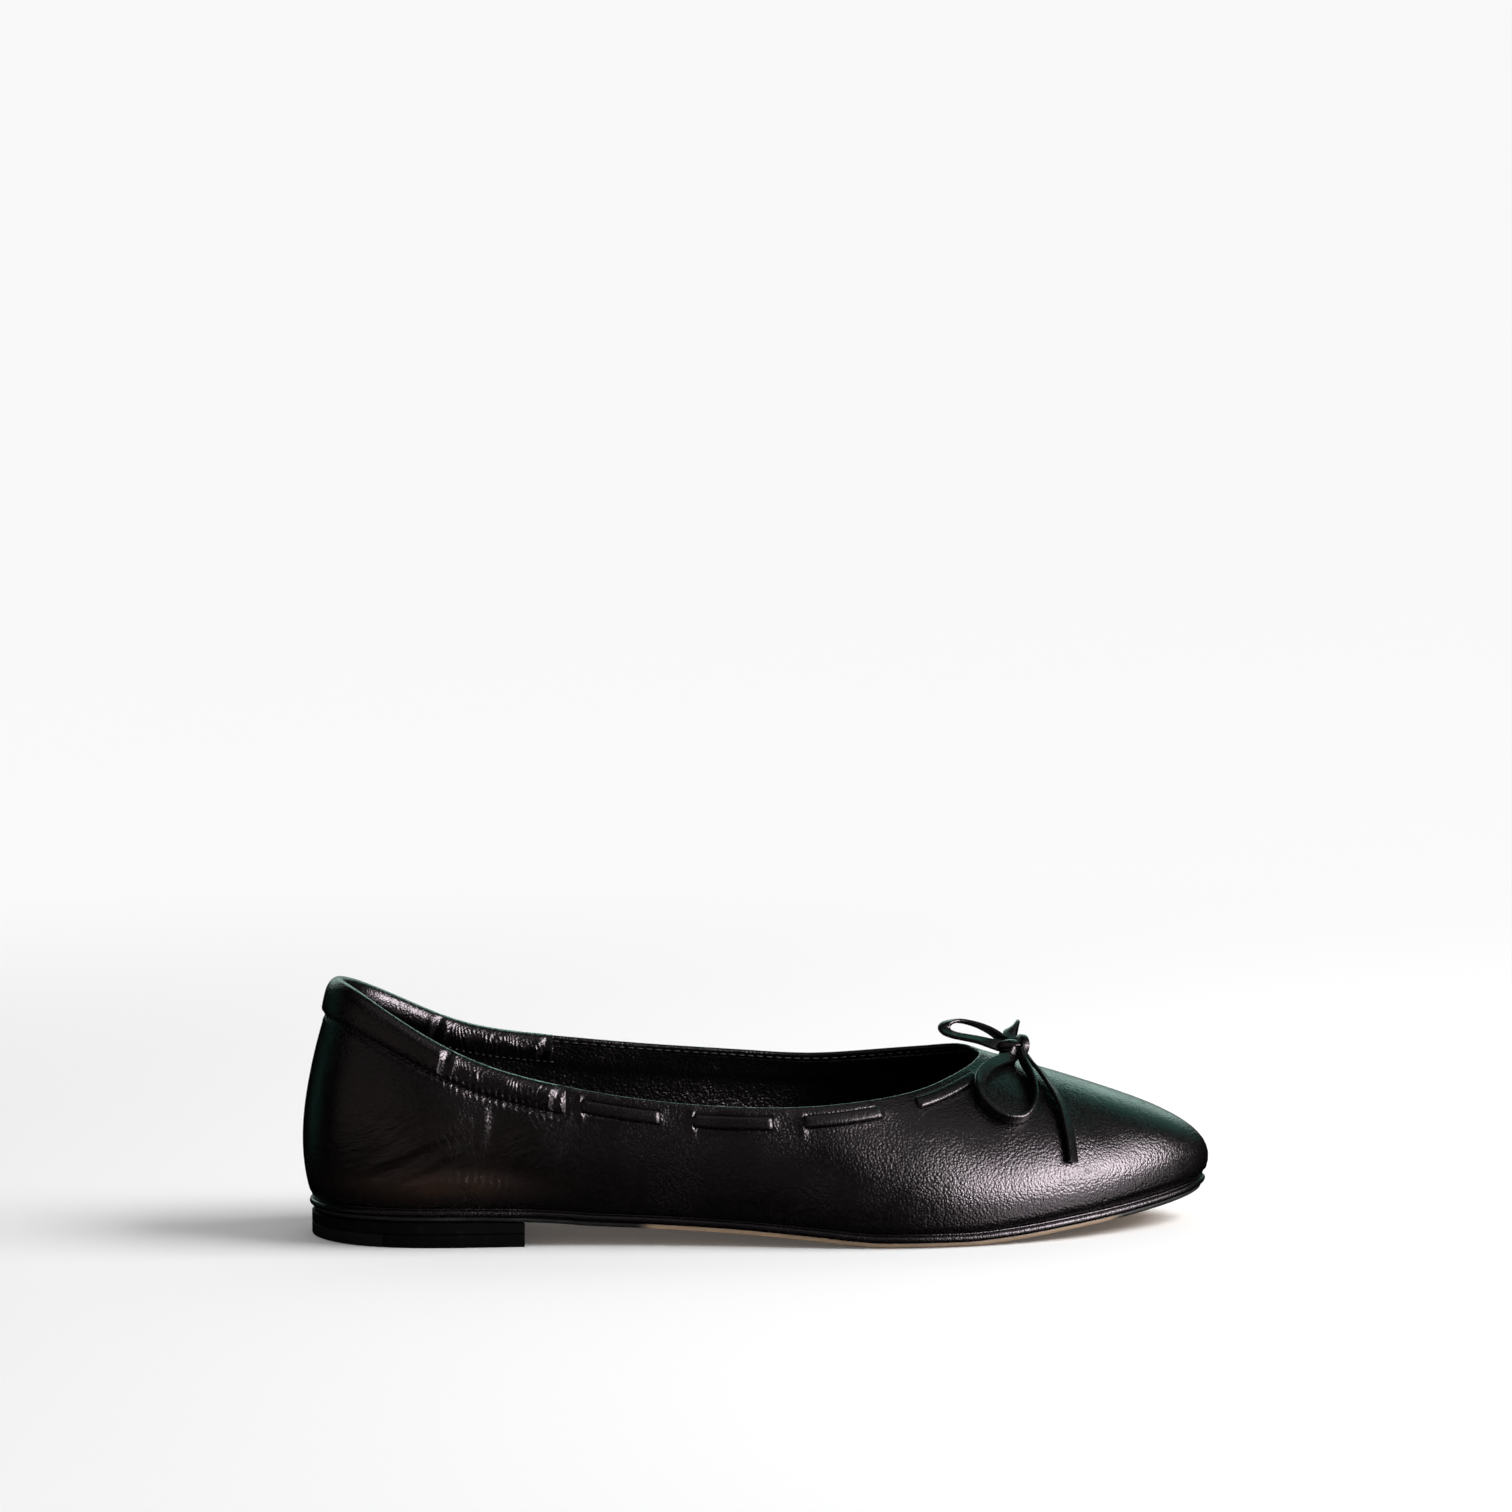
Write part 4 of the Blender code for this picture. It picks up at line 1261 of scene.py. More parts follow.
class Crease(NamedTuple):
    """One soft fold seen from the side: three places along it as (x, z), its rise and its width."""

    start: tuple[float, float]
    middle: tuple[float, float]
    end: tuple[float, float]
    rise: float  # under 0 for a trough
    width: float
    ahead: float = 1.0  # how many times wider it is on the toe's side

    def height(self, x: Array, z: Array) -> Array:
        """The fold's height over the smooth leather.

        Args:
            x: Places along the shoe.
            z: Their heights.

        Returns:
            One height for each, fading out at the fold's ends.
        """
        line = through([self.start, self.middle, self.end], 17)
        place = np.stack([x, z], -1)[..., None, :]
        off = np.linalg.norm(place - line, axis=-1)
        nearest = off.argmin(-1)
        share = nearest / (len(line) - 1)
        step = np.linalg.norm(line[1] - line[0])
        across = np.sqrt(np.maximum(np.square(off.min(-1)) - np.square(step / 4), 0))
        width = np.where(x > line[nearest, 0], self.width * self.ahead, self.width)
        return self.rise * bell(across / width) * np.sin(np.pi * np.clip(share, 0.04, 0.96)) ** 0.7


OUTER_CREASES = (
    Crease((-0.0752, 0.0392), (-0.0748, 0.0340), (-0.0765, 0.0250), -0.00024, 0.0011, 4.0),  # the hollow
    Crease((-0.0772, 0.0398), (-0.0770, 0.0355), (-0.0785, 0.0290), 0.00012, 0.0010),  # its back lip
    Crease((-0.0640, 0.0375), (-0.0635, 0.0300), (-0.0670, 0.0195), 0.00110, 0.0066, 2.6),  # its front bulge
    Crease((-0.1120, 0.0178), (-0.0965, 0.0250), (-0.0800, 0.0315), -0.00060, 0.0012),  # pull to the heel
    Crease((-0.1105, 0.0200), (-0.0960, 0.0275), (-0.0815, 0.0345), 0.00050, 0.0014),
    Crease((-0.1030, 0.0168), (-0.0910, 0.0212), (-0.0800, 0.0272), -0.00060, 0.0011),
    Crease((-0.1010, 0.0188), (-0.0905, 0.0235), (-0.0815, 0.0292), 0.00048, 0.0012),
    Crease((-0.1130, 0.0205), (-0.1000, 0.0310), (-0.0880, 0.0375), -0.00022, 0.0012),
    Crease((-0.1050, 0.0163), (-0.0870, 0.0186), (-0.0700, 0.0166), 0.00100, 0.0026),  # roll over the seat
    Crease((-0.1080, 0.0370), (-0.1040, 0.0330), (-0.1005, 0.0305), -0.00022, 0.0008),  # scuffed place
    Crease((-0.1062, 0.0318), (-0.1020, 0.0345), (-0.1000, 0.0370), 0.00022, 0.0008),
    Crease((-0.0290, 0.0345), (-0.0265, 0.0260), (-0.0230, 0.0170), 0.00035, 0.0100),  # swell of the side
)
INNER_CREASES = (
    Crease((-0.0735, 0.0440), (-0.0705, 0.0375), (-0.0745, 0.0270), -0.0012, 0.0044),
    Crease((-0.0798, 0.0450), (-0.0788, 0.0380), (-0.0822, 0.0300), 0.0007, 0.0020),
    Crease((-0.0640, 0.0425), (-0.0622, 0.0340), (-0.0660, 0.0245), 0.0005, 0.0036),
    Crease((-0.1110, 0.0205), (-0.0970, 0.0275), (-0.0830, 0.0335), -0.00030, 0.0013),
    Crease((-0.1060, 0.0190), (-0.0930, 0.0235), (-0.0815, 0.0290), 0.00026, 0.0014),
    Crease((-0.0990, 0.0180), (-0.0880, 0.0200), (-0.0760, 0.0182), 0.00040, 0.0026),
    Crease((-0.0570, 0.0400), (-0.0550, 0.0330), (-0.0590, 0.0240), -0.00030, 0.0024),
)


@dataclass
class Upper:
    """The soft leather wall, with its slits, folds and the edge turned in over the topline."""

    last: Last
    casing: Casing
    lines: dict[Side, LaceLine]
    lace_width: float = 0.0034
    leather: float = 0.0006
    edge_radius: float = 0.0007
    turn_in: float = 0.0022
    margin: float = 0.0075
    feather_radius: float = 0.0018
    slit: float = 0.0044
    slit_gap: float = 0.00035
    slit_reach: float = 0.0022
    bed: float = 0.00050
    bed_lip: float = 0.00022
    bar_swell: float = 0.00005
    slit_swell: float = 0.00014
    slit_pucker: float = 0.00025
    gather: float = 0.00030
    pucker: float = 0.00020
    valley: float = 0.00035
    back_seam: float = 0.00035
    top_band: float = 0.0150
    columns: int = 756
    inside_rows: int = 2
    turn_rows: int = 9
    band_rows: int = 20
    side_rows: int = 30

    def run(self, at: Array) -> Array:
        """Distance along the lace's line from the throat, whichever side a place is on."""
        turned = np.mod(at, 1.0)
        outer = self.lines[Side.OUTER].distance_of(turned)
        inner = self.lines[Side.INNER].distance_of(turned)
        return np.where(turned < self.last.throat, outer, inner)

    def places(self) -> Array:
        """The columns round the shoe: closer where the leather is gathered, and one on each slit."""
        fine = np.linspace(0, 1, 4001)
        gathered = self.casing.gathered(self.last.topline(fine)[:, 0])
        gone = np.concatenate([[0.0], np.cumsum((1 + 0.7 * gathered)[1:])])
        at = np.interp(np.arange(self.columns) / self.columns * gone[-1], gone, fine)
        for line in self.lines.values():
            for place in line.at_of(np.array(line.places())):
                at[np.abs(at - place).argmin()] = place
        return at

    def depths(self, at: Array) -> tuple[Array, Array]:
        """The rows of the outside.

        Args:
            at: The columns.

        Returns:
            For each column, the depth and the lift of each row, from the turned edge to the feather line.
        """
        x = self.last.topline(at)[:, 0]
        covered = smooth((self.casing.end_x - 0.0006 - x) / 0.0035)
        trim = (covered * (self.casing.leather + 2 * self.last.gap))[:, None]
        radius = self.edge_radius
        turn = np.radians(np.linspace(180, 0, self.turn_rows))
        inside = np.linspace(self.turn_in, radius * 1.6, self.inside_rows)
        depth = np.concatenate([inside, radius - radius * np.sin(turn)])
        lift = np.concatenate([np.full(self.inside_rows, -2 * radius), radius * (np.cos(turn) - 1)])
        band = np.linspace(radius, self.top_band, self.band_rows + 1)[1:]
        top = np.concatenate([depth, band])[None] + trim
        low = (self.last.girths(at) - self.feather_radius)[:, None]
        shares = np.linspace(0, 1, self.side_rows + 1)[1:][None]
        side = top[:, -1:] + (low - top[:, -1:]) * shares
        lifts = np.concatenate([lift, np.zeros(self.band_rows + self.side_rows)])
        return np.concatenate([top, side], 1), np.broadcast_to(lifts, (len(at), len(lifts)))

    def lace_relief(self, at: Array, depth: Array) -> Array:
        """The bed of each bar of lace with its lips, and the swell over each stretch that runs inside."""
        made = np.zeros_like(depth)
        for line in self.lines.values():
            on_side, run = line.beside(at)
            off = np.abs(depth - line.depth_at(run)) - self.lace_width / 2
            places = line.places()
            here = np.zeros_like(depth)
            for start, end in zip(places[1::2], places[2::2]):
                past = np.maximum(start - run, run - end)
                out = np.hypot(np.maximum(off, 0), np.maximum(past, 0)) + np.minimum(np.maximum(off, past), 0)
                inside = 1 - smooth((out + 0.0003) / 0.0006)
                nose = bell((run - end - 0.0007) / 0.0006) * bell(off / 0.0014)
                here += self.bed_lip * (bell((out - 0.00055) / 0.0005) + nose) - self.bed * inside
            for start, end in zip(places[0::2], places[1::2] + [line.run]):
                within = smooth((run - start) / 0.0012) * smooth((end - run) / 0.0012)
                ends = bell((run - start - 0.0010) / 0.0016) + bell((end - run - 0.0010) / 0.0016)
                swell = self.bar_swell * within + self.slit_swell * ends
                here += swell * bell(np.maximum(off + 0.0009, 0) / 0.0011)
            for place in places[2::2]:
                tail = bell((run - place - 0.0006) / 0.0006) * bell((off - 0.0016) / 0.0013)
                here += self.slit_pucker * tail * (depth > line.depth_at(run))
            made += here * on_side
        return made

    def slit_shift(self, at: Array, depth: Array) -> Array:
        """How far the leather is pushed along the shoe beside each slit, away from it."""
        made = np.zeros_like(depth)
        for side, line in self.lines.items():
            on_side, run = line.beside(at)
            for place in line.places():
                off = (depth - line.depth_at(np.full_like(run, place))) / (self.slit / 2)
                open_here = np.sqrt(np.clip(1 - off**4, 0, 1)) * self.slit_gap
                away = run - place
                way = np.where(np.abs(away) < 1e-7, 0.0, np.sign(away)) * side.value
                made += way * open_here * np.exp(-np.abs(away) / self.slit_reach) * on_side
        return made

    def relief(self, at: Array, depth: Array, place: Array) -> Array:
        """How far the leather rises over the smooth form.

        Args:
            at: The columns.
            depth: The depth of each row below the topline.
            place: The points of the smooth form.

        Returns:
            One height for each point.
        """
        x, y, z = place[..., 0], place[..., 1], place[..., 2]
        run = np.broadcast_to(self.run(at)[:, None], depth.shape)
        below = depth - self.casing.depth(x)
        drawn = self.casing.gathered(x)
        fan = np.exp(-np.maximum(below, 0) / 0.0032) * smooth((below + 0.004) / 0.003)
        folds = (self.casing.folds(run, depth * 0.6, 0.0017) - 0.45) * drawn * fan
        covered = smooth((self.casing.end_x - x) / 0.003)
        puckers = 0.4 + 0.6 * np.cos(2 * math.pi * run / self.casing.stitch)
        puckers *= covered * bell((below - 0.0014) / 0.0008)
        valley = covered * bell((below - 0.0002) / 0.0009)
        creases = np.zeros_like(depth)
        for crease in OUTER_CREASES:
            creases += crease.height(x, z) * (y < 0)
        for crease in INNER_CREASES:
            creases += crease.height(x, z) * (y > 0)
        soft_back = 0.30 + 0.70 * smooth((0.020 - x) / 0.060)
        waves = Waves(41)(place, (0.036, 0.036, 0.028)) * 0.00012
        waves += Waves(42)(place, (0.013, 0.013, 0.016)) * 0.00004
        free = smooth(depth / 0.006) * smooth((z - self.last.feather(x) - 0.001) / 0.006)
        seam = bell(y / 0.0006) * (x < -0.10)
        lows = valley * self.valley + seam * self.back_seam
        relief = folds * self.gather + puckers * self.pucker - lows + creases
        return relief + waves * soft_back * free + self.lace_relief(at, depth)

    def build(self, finish: bpy.types.Material) -> bpy.types.Object:
        """Makes the upper.

        Args:
            finish: Its leather.

        Returns:
            The finished piece.
        """
        at = self.places()
        depth, lift = self.depths(at)
        base = self.last.skin(at, depth)
        outside = smooth((lift + 2 * self.edge_radius) / self.edge_radius)
        rise = self.relief(at, depth, base.place) * outside
        shift = self.slit_shift(at, depth) * outside
        grid = base.place + base.normal * (lift + rise)[..., None] + base.along * shift[..., None]
        grid = np.concatenate([grid, self.lasted_rows(at)], 1)
        points, faces = self.opened(at, depth, grid, base.along)
        piece = walled("upper_leather", points, faces, self.weights(points), self.leather, -1, 55)
        return settle(piece, finish, Slot.UPPER, "upper")

    def weights(self, points: Array) -> dict[str, Array]:
        """Where the leather is pulled, and where it is worn (the scuff) and carries a painted bronze sheen
        (the roll over the seat), 0 to 1 for each of its points.
        """
        x, z = points[:, 0], points[:, 2]
        quarter = bell((x + 0.086) / 0.024) * bell((z - 0.027) / 0.014)
        scuff = bell(np.hypot(x + 0.1035, z - 0.0335) / 0.0045)
        pull = 0.75 * quarter + 0.9 * scuff + 0.25 * smooth(-x / 0.05) + 0.20 * bell((x + 0.052) / 0.016)
        # painted bronze sheen along the roll over the seat; wear at the scuff; a little brown over the
        # quarter
        wear_and_sheen = bell((x + 0.088) / 0.020) * bell((z - 0.0175) / 0.0035) + 0.16 * quarter + 0.2 * scuff
        return {"pull": np.clip(pull, 0, 1), "wear_and_sheen": np.clip(wear_and_sheen + 0.02, 0, 1)}

    def lasted_rows(self, at: Array) -> Array:
        """The rows round the feather edge and under the foot, where the leather is pulled in."""
        radius = self.feather_radius
        rows = []
        for inset, lift in ((0.0, 0.55), (0.10, 0.25), (0.38, 0.06), (self.margin / radius, 0.0)):
            flat = self.last.inset_line(at, inset * radius)
            height = self.last.feather(flat[:, 0]) + self.last.gap + lift * radius
            rows.append(np.column_stack([flat, height]))
        return np.stack(rows, 1)

    def opened(
        self, at: Array, depth: Array, grid: Array, along: Array
    ) -> tuple[Array, list[tuple[int, ...]]]:
        """The grid's points and faces, with the slits cut open along their columns.

        Args:
            at: The columns.
            depth: The depth of each row but those under the foot.
            grid: The points, a row of them for each column.
            along: The way round the shoe at each point of the outside.

        Returns:
            The points, and the faces as their corners' indices.
        """
        count, rows = grid.shape[:2]
        points = [grid.reshape(-1, 3)]
        ahead = np.arange(count * rows).reshape(count, rows)
        behind = ahead.copy()
        made = count * rows
        below_edge = np.arange(depth.shape[1]) >= self.inside_rows + self.turn_rows
        for line in self.lines.values():
            for place in line.places():
                column = int(np.abs(at - line.at_of(np.array([place]))).argmin())
                off = (depth[column] - line.depth_at(np.array([place]))) / (self.slit / 2)
                cut = np.flatnonzero((np.abs(off) < 1) & below_edge)
                push = np.sqrt(1 - off[cut] ** 4)[:, None] * self.slit_gap * along[column, cut]
                points[0][ahead[column, cut]] += push
                points.append(grid[column, cut] - 2 * push)
                behind[column, cut] = np.arange(made, made + len(cut))
                made += len(cut)
        faces = []
        for i in range(count):
            k = (i + 1) % count
            for j in range(rows - 1):
                corners = (ahead[i, j], ahead[i, j + 1], behind[k, j + 1], behind[k, j])
                faces.append(tuple(int(corner) for corner in corners))
        return np.concatenate(points), faces


@dataclass
class Lining:
    """The thin leather that lines the upper, and lies over the hidden stretches of the lace."""

    last: Last
    casing: Casing
    lines: dict[Side, LaceLine]
    thickness: float = 0.0005
    top: float = 0.0019
    base: float = 0.00095  # how far its back lies under the upper's outside
    under_edge: float = 0.00050
    over_lace: float = 0.00090
    deepest: float = 0.00195
    soft: float = 0.00022
    columns: int = 520
    rows: int = 44

    def lifts(self, at: Array, depth: Array) -> Array:
        """How far inside the upper's outside the lining's back lies.

        Args:
            at: The columns.
            depth: The depth of each row.

        Returns:
            The lift of each point, under 0.
        """
        base = np.full_like(depth, -self.base)
        base -= self.under_edge * bell((depth - self.top) / 0.0030) * (depth < 0.0075)
        for line in self.lines.values():
            on_side, run = line.beside(at)
            within = smooth((line.run + 0.004 - run) / 0.004)
            off = np.abs(depth - line.depth_at(run)) - 0.0021
            over = self.over_lace * within * bell(np.maximum(off, 0) / 0.0016)
            base = np.where(on_side, base - over, base)
        return np.maximum(base, -self.deepest)

    def build(self, finish: bpy.types.Material) -> bpy.types.Object:
        """Makes the lining.

        Args:
            finish: Its leather.

        Returns:
            The finished piece.
        """
        at = np.arange(self.columns) / self.columns
        low = (self.last.girths(at) - 0.0042)[:, None]
        share = np.linspace(0, 1, self.rows)[None] ** 1.15
        depth = self.top + (low - self.top) * share
        base = self.last.skin(at, depth)
        soft = Waves(51)(base.place, (0.022, 0.022, 0.016)) * self.soft * smooth((depth - 0.008) / 0.008)
        lift = self.lifts(at, depth) + soft
        grid = base.place + base.normal * lift[..., None]
        count, rows = depth.shape
        index = np.arange(count * rows).reshape(count, rows)
        after = np.roll(index, -1, axis=0)
        corners = [after[:, :-1], after[:, 1:], index[:, 1:], index[:, :-1]]
        faces = np.stack(corners, -1).reshape(-1, 4).tolist()
        piece = walled("lining", grid, faces, {"pull": 0.15, "wear_and_sheen": 0.0}, self.thickness, 1, 60)
        return settle(piece, finish, Slot.UPPER)


# Bow


class BowPoint(NamedTuple):
    """A point of the bow from the knot. A strip that would lie too near the vamp rests on it."""

    forward: float
    inward: float
    up: float
    stand: float  # degrees: 0 lies flat, 90 stands on its edge


OUTER_LOOP = (
    BowPoint(0.0010, -0.0024, 0.0000, 60),
    BowPoint(-0.0012, -0.0050, -0.0026, 25),
    BowPoint(-0.0060, -0.0086, -0.0050, 10),
    BowPoint(-0.0106, -0.0130, -0.0080, 15),
    BowPoint(-0.0128, -0.0180, -0.0114, 42),
    BowPoint(-0.0116, -0.0226, -0.0148, 72),
    BowPoint(-0.0070, -0.0262, -0.0176, 85),
    BowPoint(-0.0012, -0.0258, -0.0178, 90),
    BowPoint(0.0022, -0.0216, -0.0150, 90),
    BowPoint(0.0032, -0.0160, -0.0109, 95),
    BowPoint(0.0028, -0.0098, -0.0062, 100),
    BowPoint(0.0014, -0.0040, -0.0006, 95),
)
INNER_LOOP = (
    BowPoint(-0.0030, 0.0002, 0.0000, 60),
    BowPoint(-0.0062, 0.0002, 0.0008, 32),
    BowPoint(-0.0095, 0.0010, 0.0017, 18),
    BowPoint(-0.0130, 0.0020, 0.0023, 14),
    BowPoint(-0.0160, 0.0032, 0.0028, 14),
    BowPoint(-0.0181, 0.0047, 0.0036, 18),
    BowPoint(-0.0184, 0.0063, 0.0048, 24),
    BowPoint(-0.0168, 0.0079, 0.0057, 20),
    BowPoint(-0.0138, 0.0088, 0.0059, 16),
    BowPoint(-0.0100, 0.0084, 0.0051, 20),
    BowPoint(-0.0066, 0.0066, 0.0039, 34),
    BowPoint(-0.0042, 0.0045, 0.0026, 52),
    BowPoint(-0.0024, 0.0022, 0.0012, 70),
)
OUTER_TAIL = (
    BowPoint(0.0026, -0.0012, -0.0010, 30),
    BowPoint(0.0046, -0.0052, -0.0042, 30),
    BowPoint(0.0064, -0.0102, -0.0082, 32),
    BowPoint(0.0084, -0.0152, -0.0122, 33),
    BowPoint(0.0100, -0.0202, -0.0165, 32),
    BowPoint(0.0110, -0.0256, -0.0210, 30),
    BowPoint(0.0116, -0.0310, -0.0280, 26),
)
INNER_TAIL = (
    BowPoint(0.0004, 0.0022, 0.0006, 5),
    BowPoint(-0.0004, 0.0056, 0.0028, 20),
    BowPoint(0.0020, 0.0104, 0.0042, 72),
    BowPoint(0.0024, 0.0160, 0.0022, 70),
    BowPoint(0.0012, 0.0214, -0.0038, 30),
    BowPoint(-0.0002, 0.0262, -0.0112, 4),
)


class Strip(NamedTuple):
    """One loop or end of the bow."""

    node: str
    points: tuple[BowPoint, ...]
    off: float | None  # how far off the vamp its middle lies at least, for a strip that rests there
    far_end: str


STRIPS = (
    Strip("bow_loop_outer", OUTER_LOOP, 0.0020, "object"),
    Strip("bow_loop_inner", INNER_LOOP, None, "object"),
    Strip("bow_end_outer", OUTER_TAIL, 0.0019, "bare"),
    Strip("bow_end_inner", INNER_TAIL, None, "bare"),
)


@dataclass
class Bow:
    """The bow at the throat: its knot, two loops and two ends."""

    last: Last
    knot_depth: float = 0.0086
    knot_lift: float = 0.0038
    width: float = 0.0034
    thickness: float = 0.0011
    wrap_radii: tuple[float, float] = (0.0030, 0.0020)
    wrap_width: float = 0.0027
    wrap_place: tuple[float, float, float] = (0.0020, -0.0006, 0.0001)
    wrap_turn: float = 20.0
    wrap_drift: float = 0.0005
    wrap_slope: float = 0.12
    core_place: tuple[float, float, float] = (-0.0003, -0.0008, 0.0)
    core_radii: tuple[float, float, float] = (0.0042, 0.0031, 0.0022)
    neck_from_throat: float = 0.0078  # as a share of the way round the shoe
    neck_rise: float = 0.0022
    neck_aside: float = 0.0006
    neck_end: tuple[float, float] = (0.0012, -0.0004)  # aside of the knot's middle and up from it
    fineness: int = 14
    tree: BVHTree = field(init=False)
    knot: Array = field(init=False)

    def __post_init__(self) -> None:
        """Finds the vamp that the bow lies on and the middle of the knot."""
        at = np.linspace(0.25, 0.8, 240)
        grid = self.last.ribs(at)[:, ::5]
        count, high = grid.shape[:2]
        faces = [
            (i * high + j, i * high + j + 1, (i + 1) * high + j + 1, (i + 1) * high + j)
            for i in range(count - 1)
            for j in range(high - 1)
        ]
        self.tree = BVHTree.FromPolygons([Vector(p) for p in grid.reshape(-1, 3)], faces)
        throat = self.last.skin(np.array([self.last.throat]), np.array([[self.knot_depth]]))
        self.knot = throat.place[0, 0] + throat.normal[0, 0] * self.knot_lift

    def nearest(self, point: Array) -> tuple[Array, Array, float]:
        """The vamp's nearest point, its outward normal there and how far the point lies off it."""
        hit, normal, _, _ = self.tree.find_nearest(Vector(point))
        away = Vector(point) - hit
        return np.array(hit), np.array(normal), math.copysign(away.length, away.dot(normal))

    def path(self, strip: Strip) -> tuple[Array, Array]:
        """The middle of a strip.

        Args:
            strip: The loop or end.

        Returns:
            Its points, and the way of its width at each.
        """
        line = through(strip.points, self.fineness * (len(strip.points) - 1) + 1)
        stand = np.radians(line[:, 3:])
        least = self.thickness * 1.5 if strip.off is None else strip.off
        centres = []
        for offset in line[:, :3]:
            hit, normal, off = self.nearest(self.knot + offset)
            centres.append(hit + normal * least if off < least else self.knot + offset)
        centres = np.array(centres)
        for _ in range(6):
            centres[1:-1] = (centres[:-2] + 2 * centres[1:-1] + centres[2:]) / 4
        up = np.array([self.nearest(self.knot if strip.off is None else point)[1] for point in centres])
        side = unit(np.cross(np.gradient(centres, axis=0), up))
        return centres, np.cos(stand) * side + np.sin(stand) * up

    def wrap(self) -> bpy.types.Mesh:
        """The lace's turn round the strands of the knot."""
        turn = np.linspace(0, 2 * math.pi, 48, endpoint=False)
        deep, high = self.wrap_radii
        drift = self.wrap_drift * np.sin(turn + 0.6)
        ring = np.stack([drift, np.cos(turn) * deep, np.sin(turn) * high], -1)
        outward = unit(ring * (0, 1 / deep, 1 / high))
        slope = unit(np.array([1.0, 0.0, self.wrap_slope]))
        half = self.wrap_width / 2
        shape = ((-1, 0.10), (-0.8, 0.85), (0, 1.15), (0.8, 0.85), (1, 0.10), (1, -0.6), (-1, -0.6))
        rings = [ring + slope * (half * a) + outward * (self.thickness * b) for a, b in shape]
        rings = np.stack(rings, 1)
        yaw = np.array(Matrix.Rotation(math.radians(self.wrap_turn), 3, "Z"))
        return tube("knot_wrap", rings @ yaw.T + self.wrap_place + self.knot, closed=True)

    def neck(self, way: Side) -> bpy.types.Mesh:
        """One strand from its slit in the throat up into the knot."""
        at = np.array([self.last.throat + way.value * self.neck_from_throat])
        slit = self.last.skin(at, np.array([[self.knot_depth]]), 0.0)
        foot, up = slit.place[0, 0] - slit.normal[0, 0] * self.thickness, slit.normal[0, 0]
        aside = slit.along[0, 0] * self.neck_aside * way.value
        end = self.knot + (0, way.value * self.neck_end[0], self.neck_end[1])
        line = through([foot, foot + up * self.neck_rise + aside, end], 12)
        return tube("knot_neck", ribbon(line, np.tile(slit.down[0, 0], (12, 1)), self.width, self.thickness))

    def tie(self, finish: bpy.types.Material) -> bpy.types.Object:
        """Makes the knot: the strands that go through it, the turn round them and the two necks below.

        Args:
            finish: Its leather.

        Returns:
            The finished piece.
        """
        body = bmesh.new()
        bmesh.ops.create_uvsphere(body, u_segments=40, v_segments=24, radius=1)
        points = np.array([v.co for v in body.verts])
        groove = bell((points[:, 2] - 0.25 * points[:, 0]) / 0.16)
        lumps = 1 + 0.09 * Waves(61)(points, (1.7, 1.2, 1.5)) - 0.10 * groove
        points = points * lumps[:, None] * self.core_radii + self.core_place + self.knot
        for vert, point in zip(body.verts, points):
            vert.co = point
        for part in (self.wrap(), self.neck(Side.OUTER), self.neck(Side.INNER)):
            body.from_mesh(part)
        mesh = bpy.data.meshes.new("knot_leather")
        body.to_mesh(mesh)
        body.free()
        mesh.shade_smooth()
        mesh.set_sharp_from_angle(angle=math.radians(50))
        return settle(put_in(mesh), finish, Slot.LACE, "lace_knot")

    def build(self, finish: bpy.types.Material) -> list[bpy.types.Object]:
        """Makes the bow.

        Args:
            finish: Its leather.

        Returns:
            The finished pieces, the knot first.
        """
        knot = self.tie(finish)
        made = [knot]
        for strip in STRIPS:
            centres, across = self.path(strip)
            mesh = tube(strip.node + "_leather", ribbon(centres, across, self.width, self.thickness))
            piece = settle(put_in(mesh), finish, Slot.LACE, strip.node)
            tuple(centres[0])
            float(lengths_along(centres)[-1])
            made.append(piece)
        return made


# Sole and heel


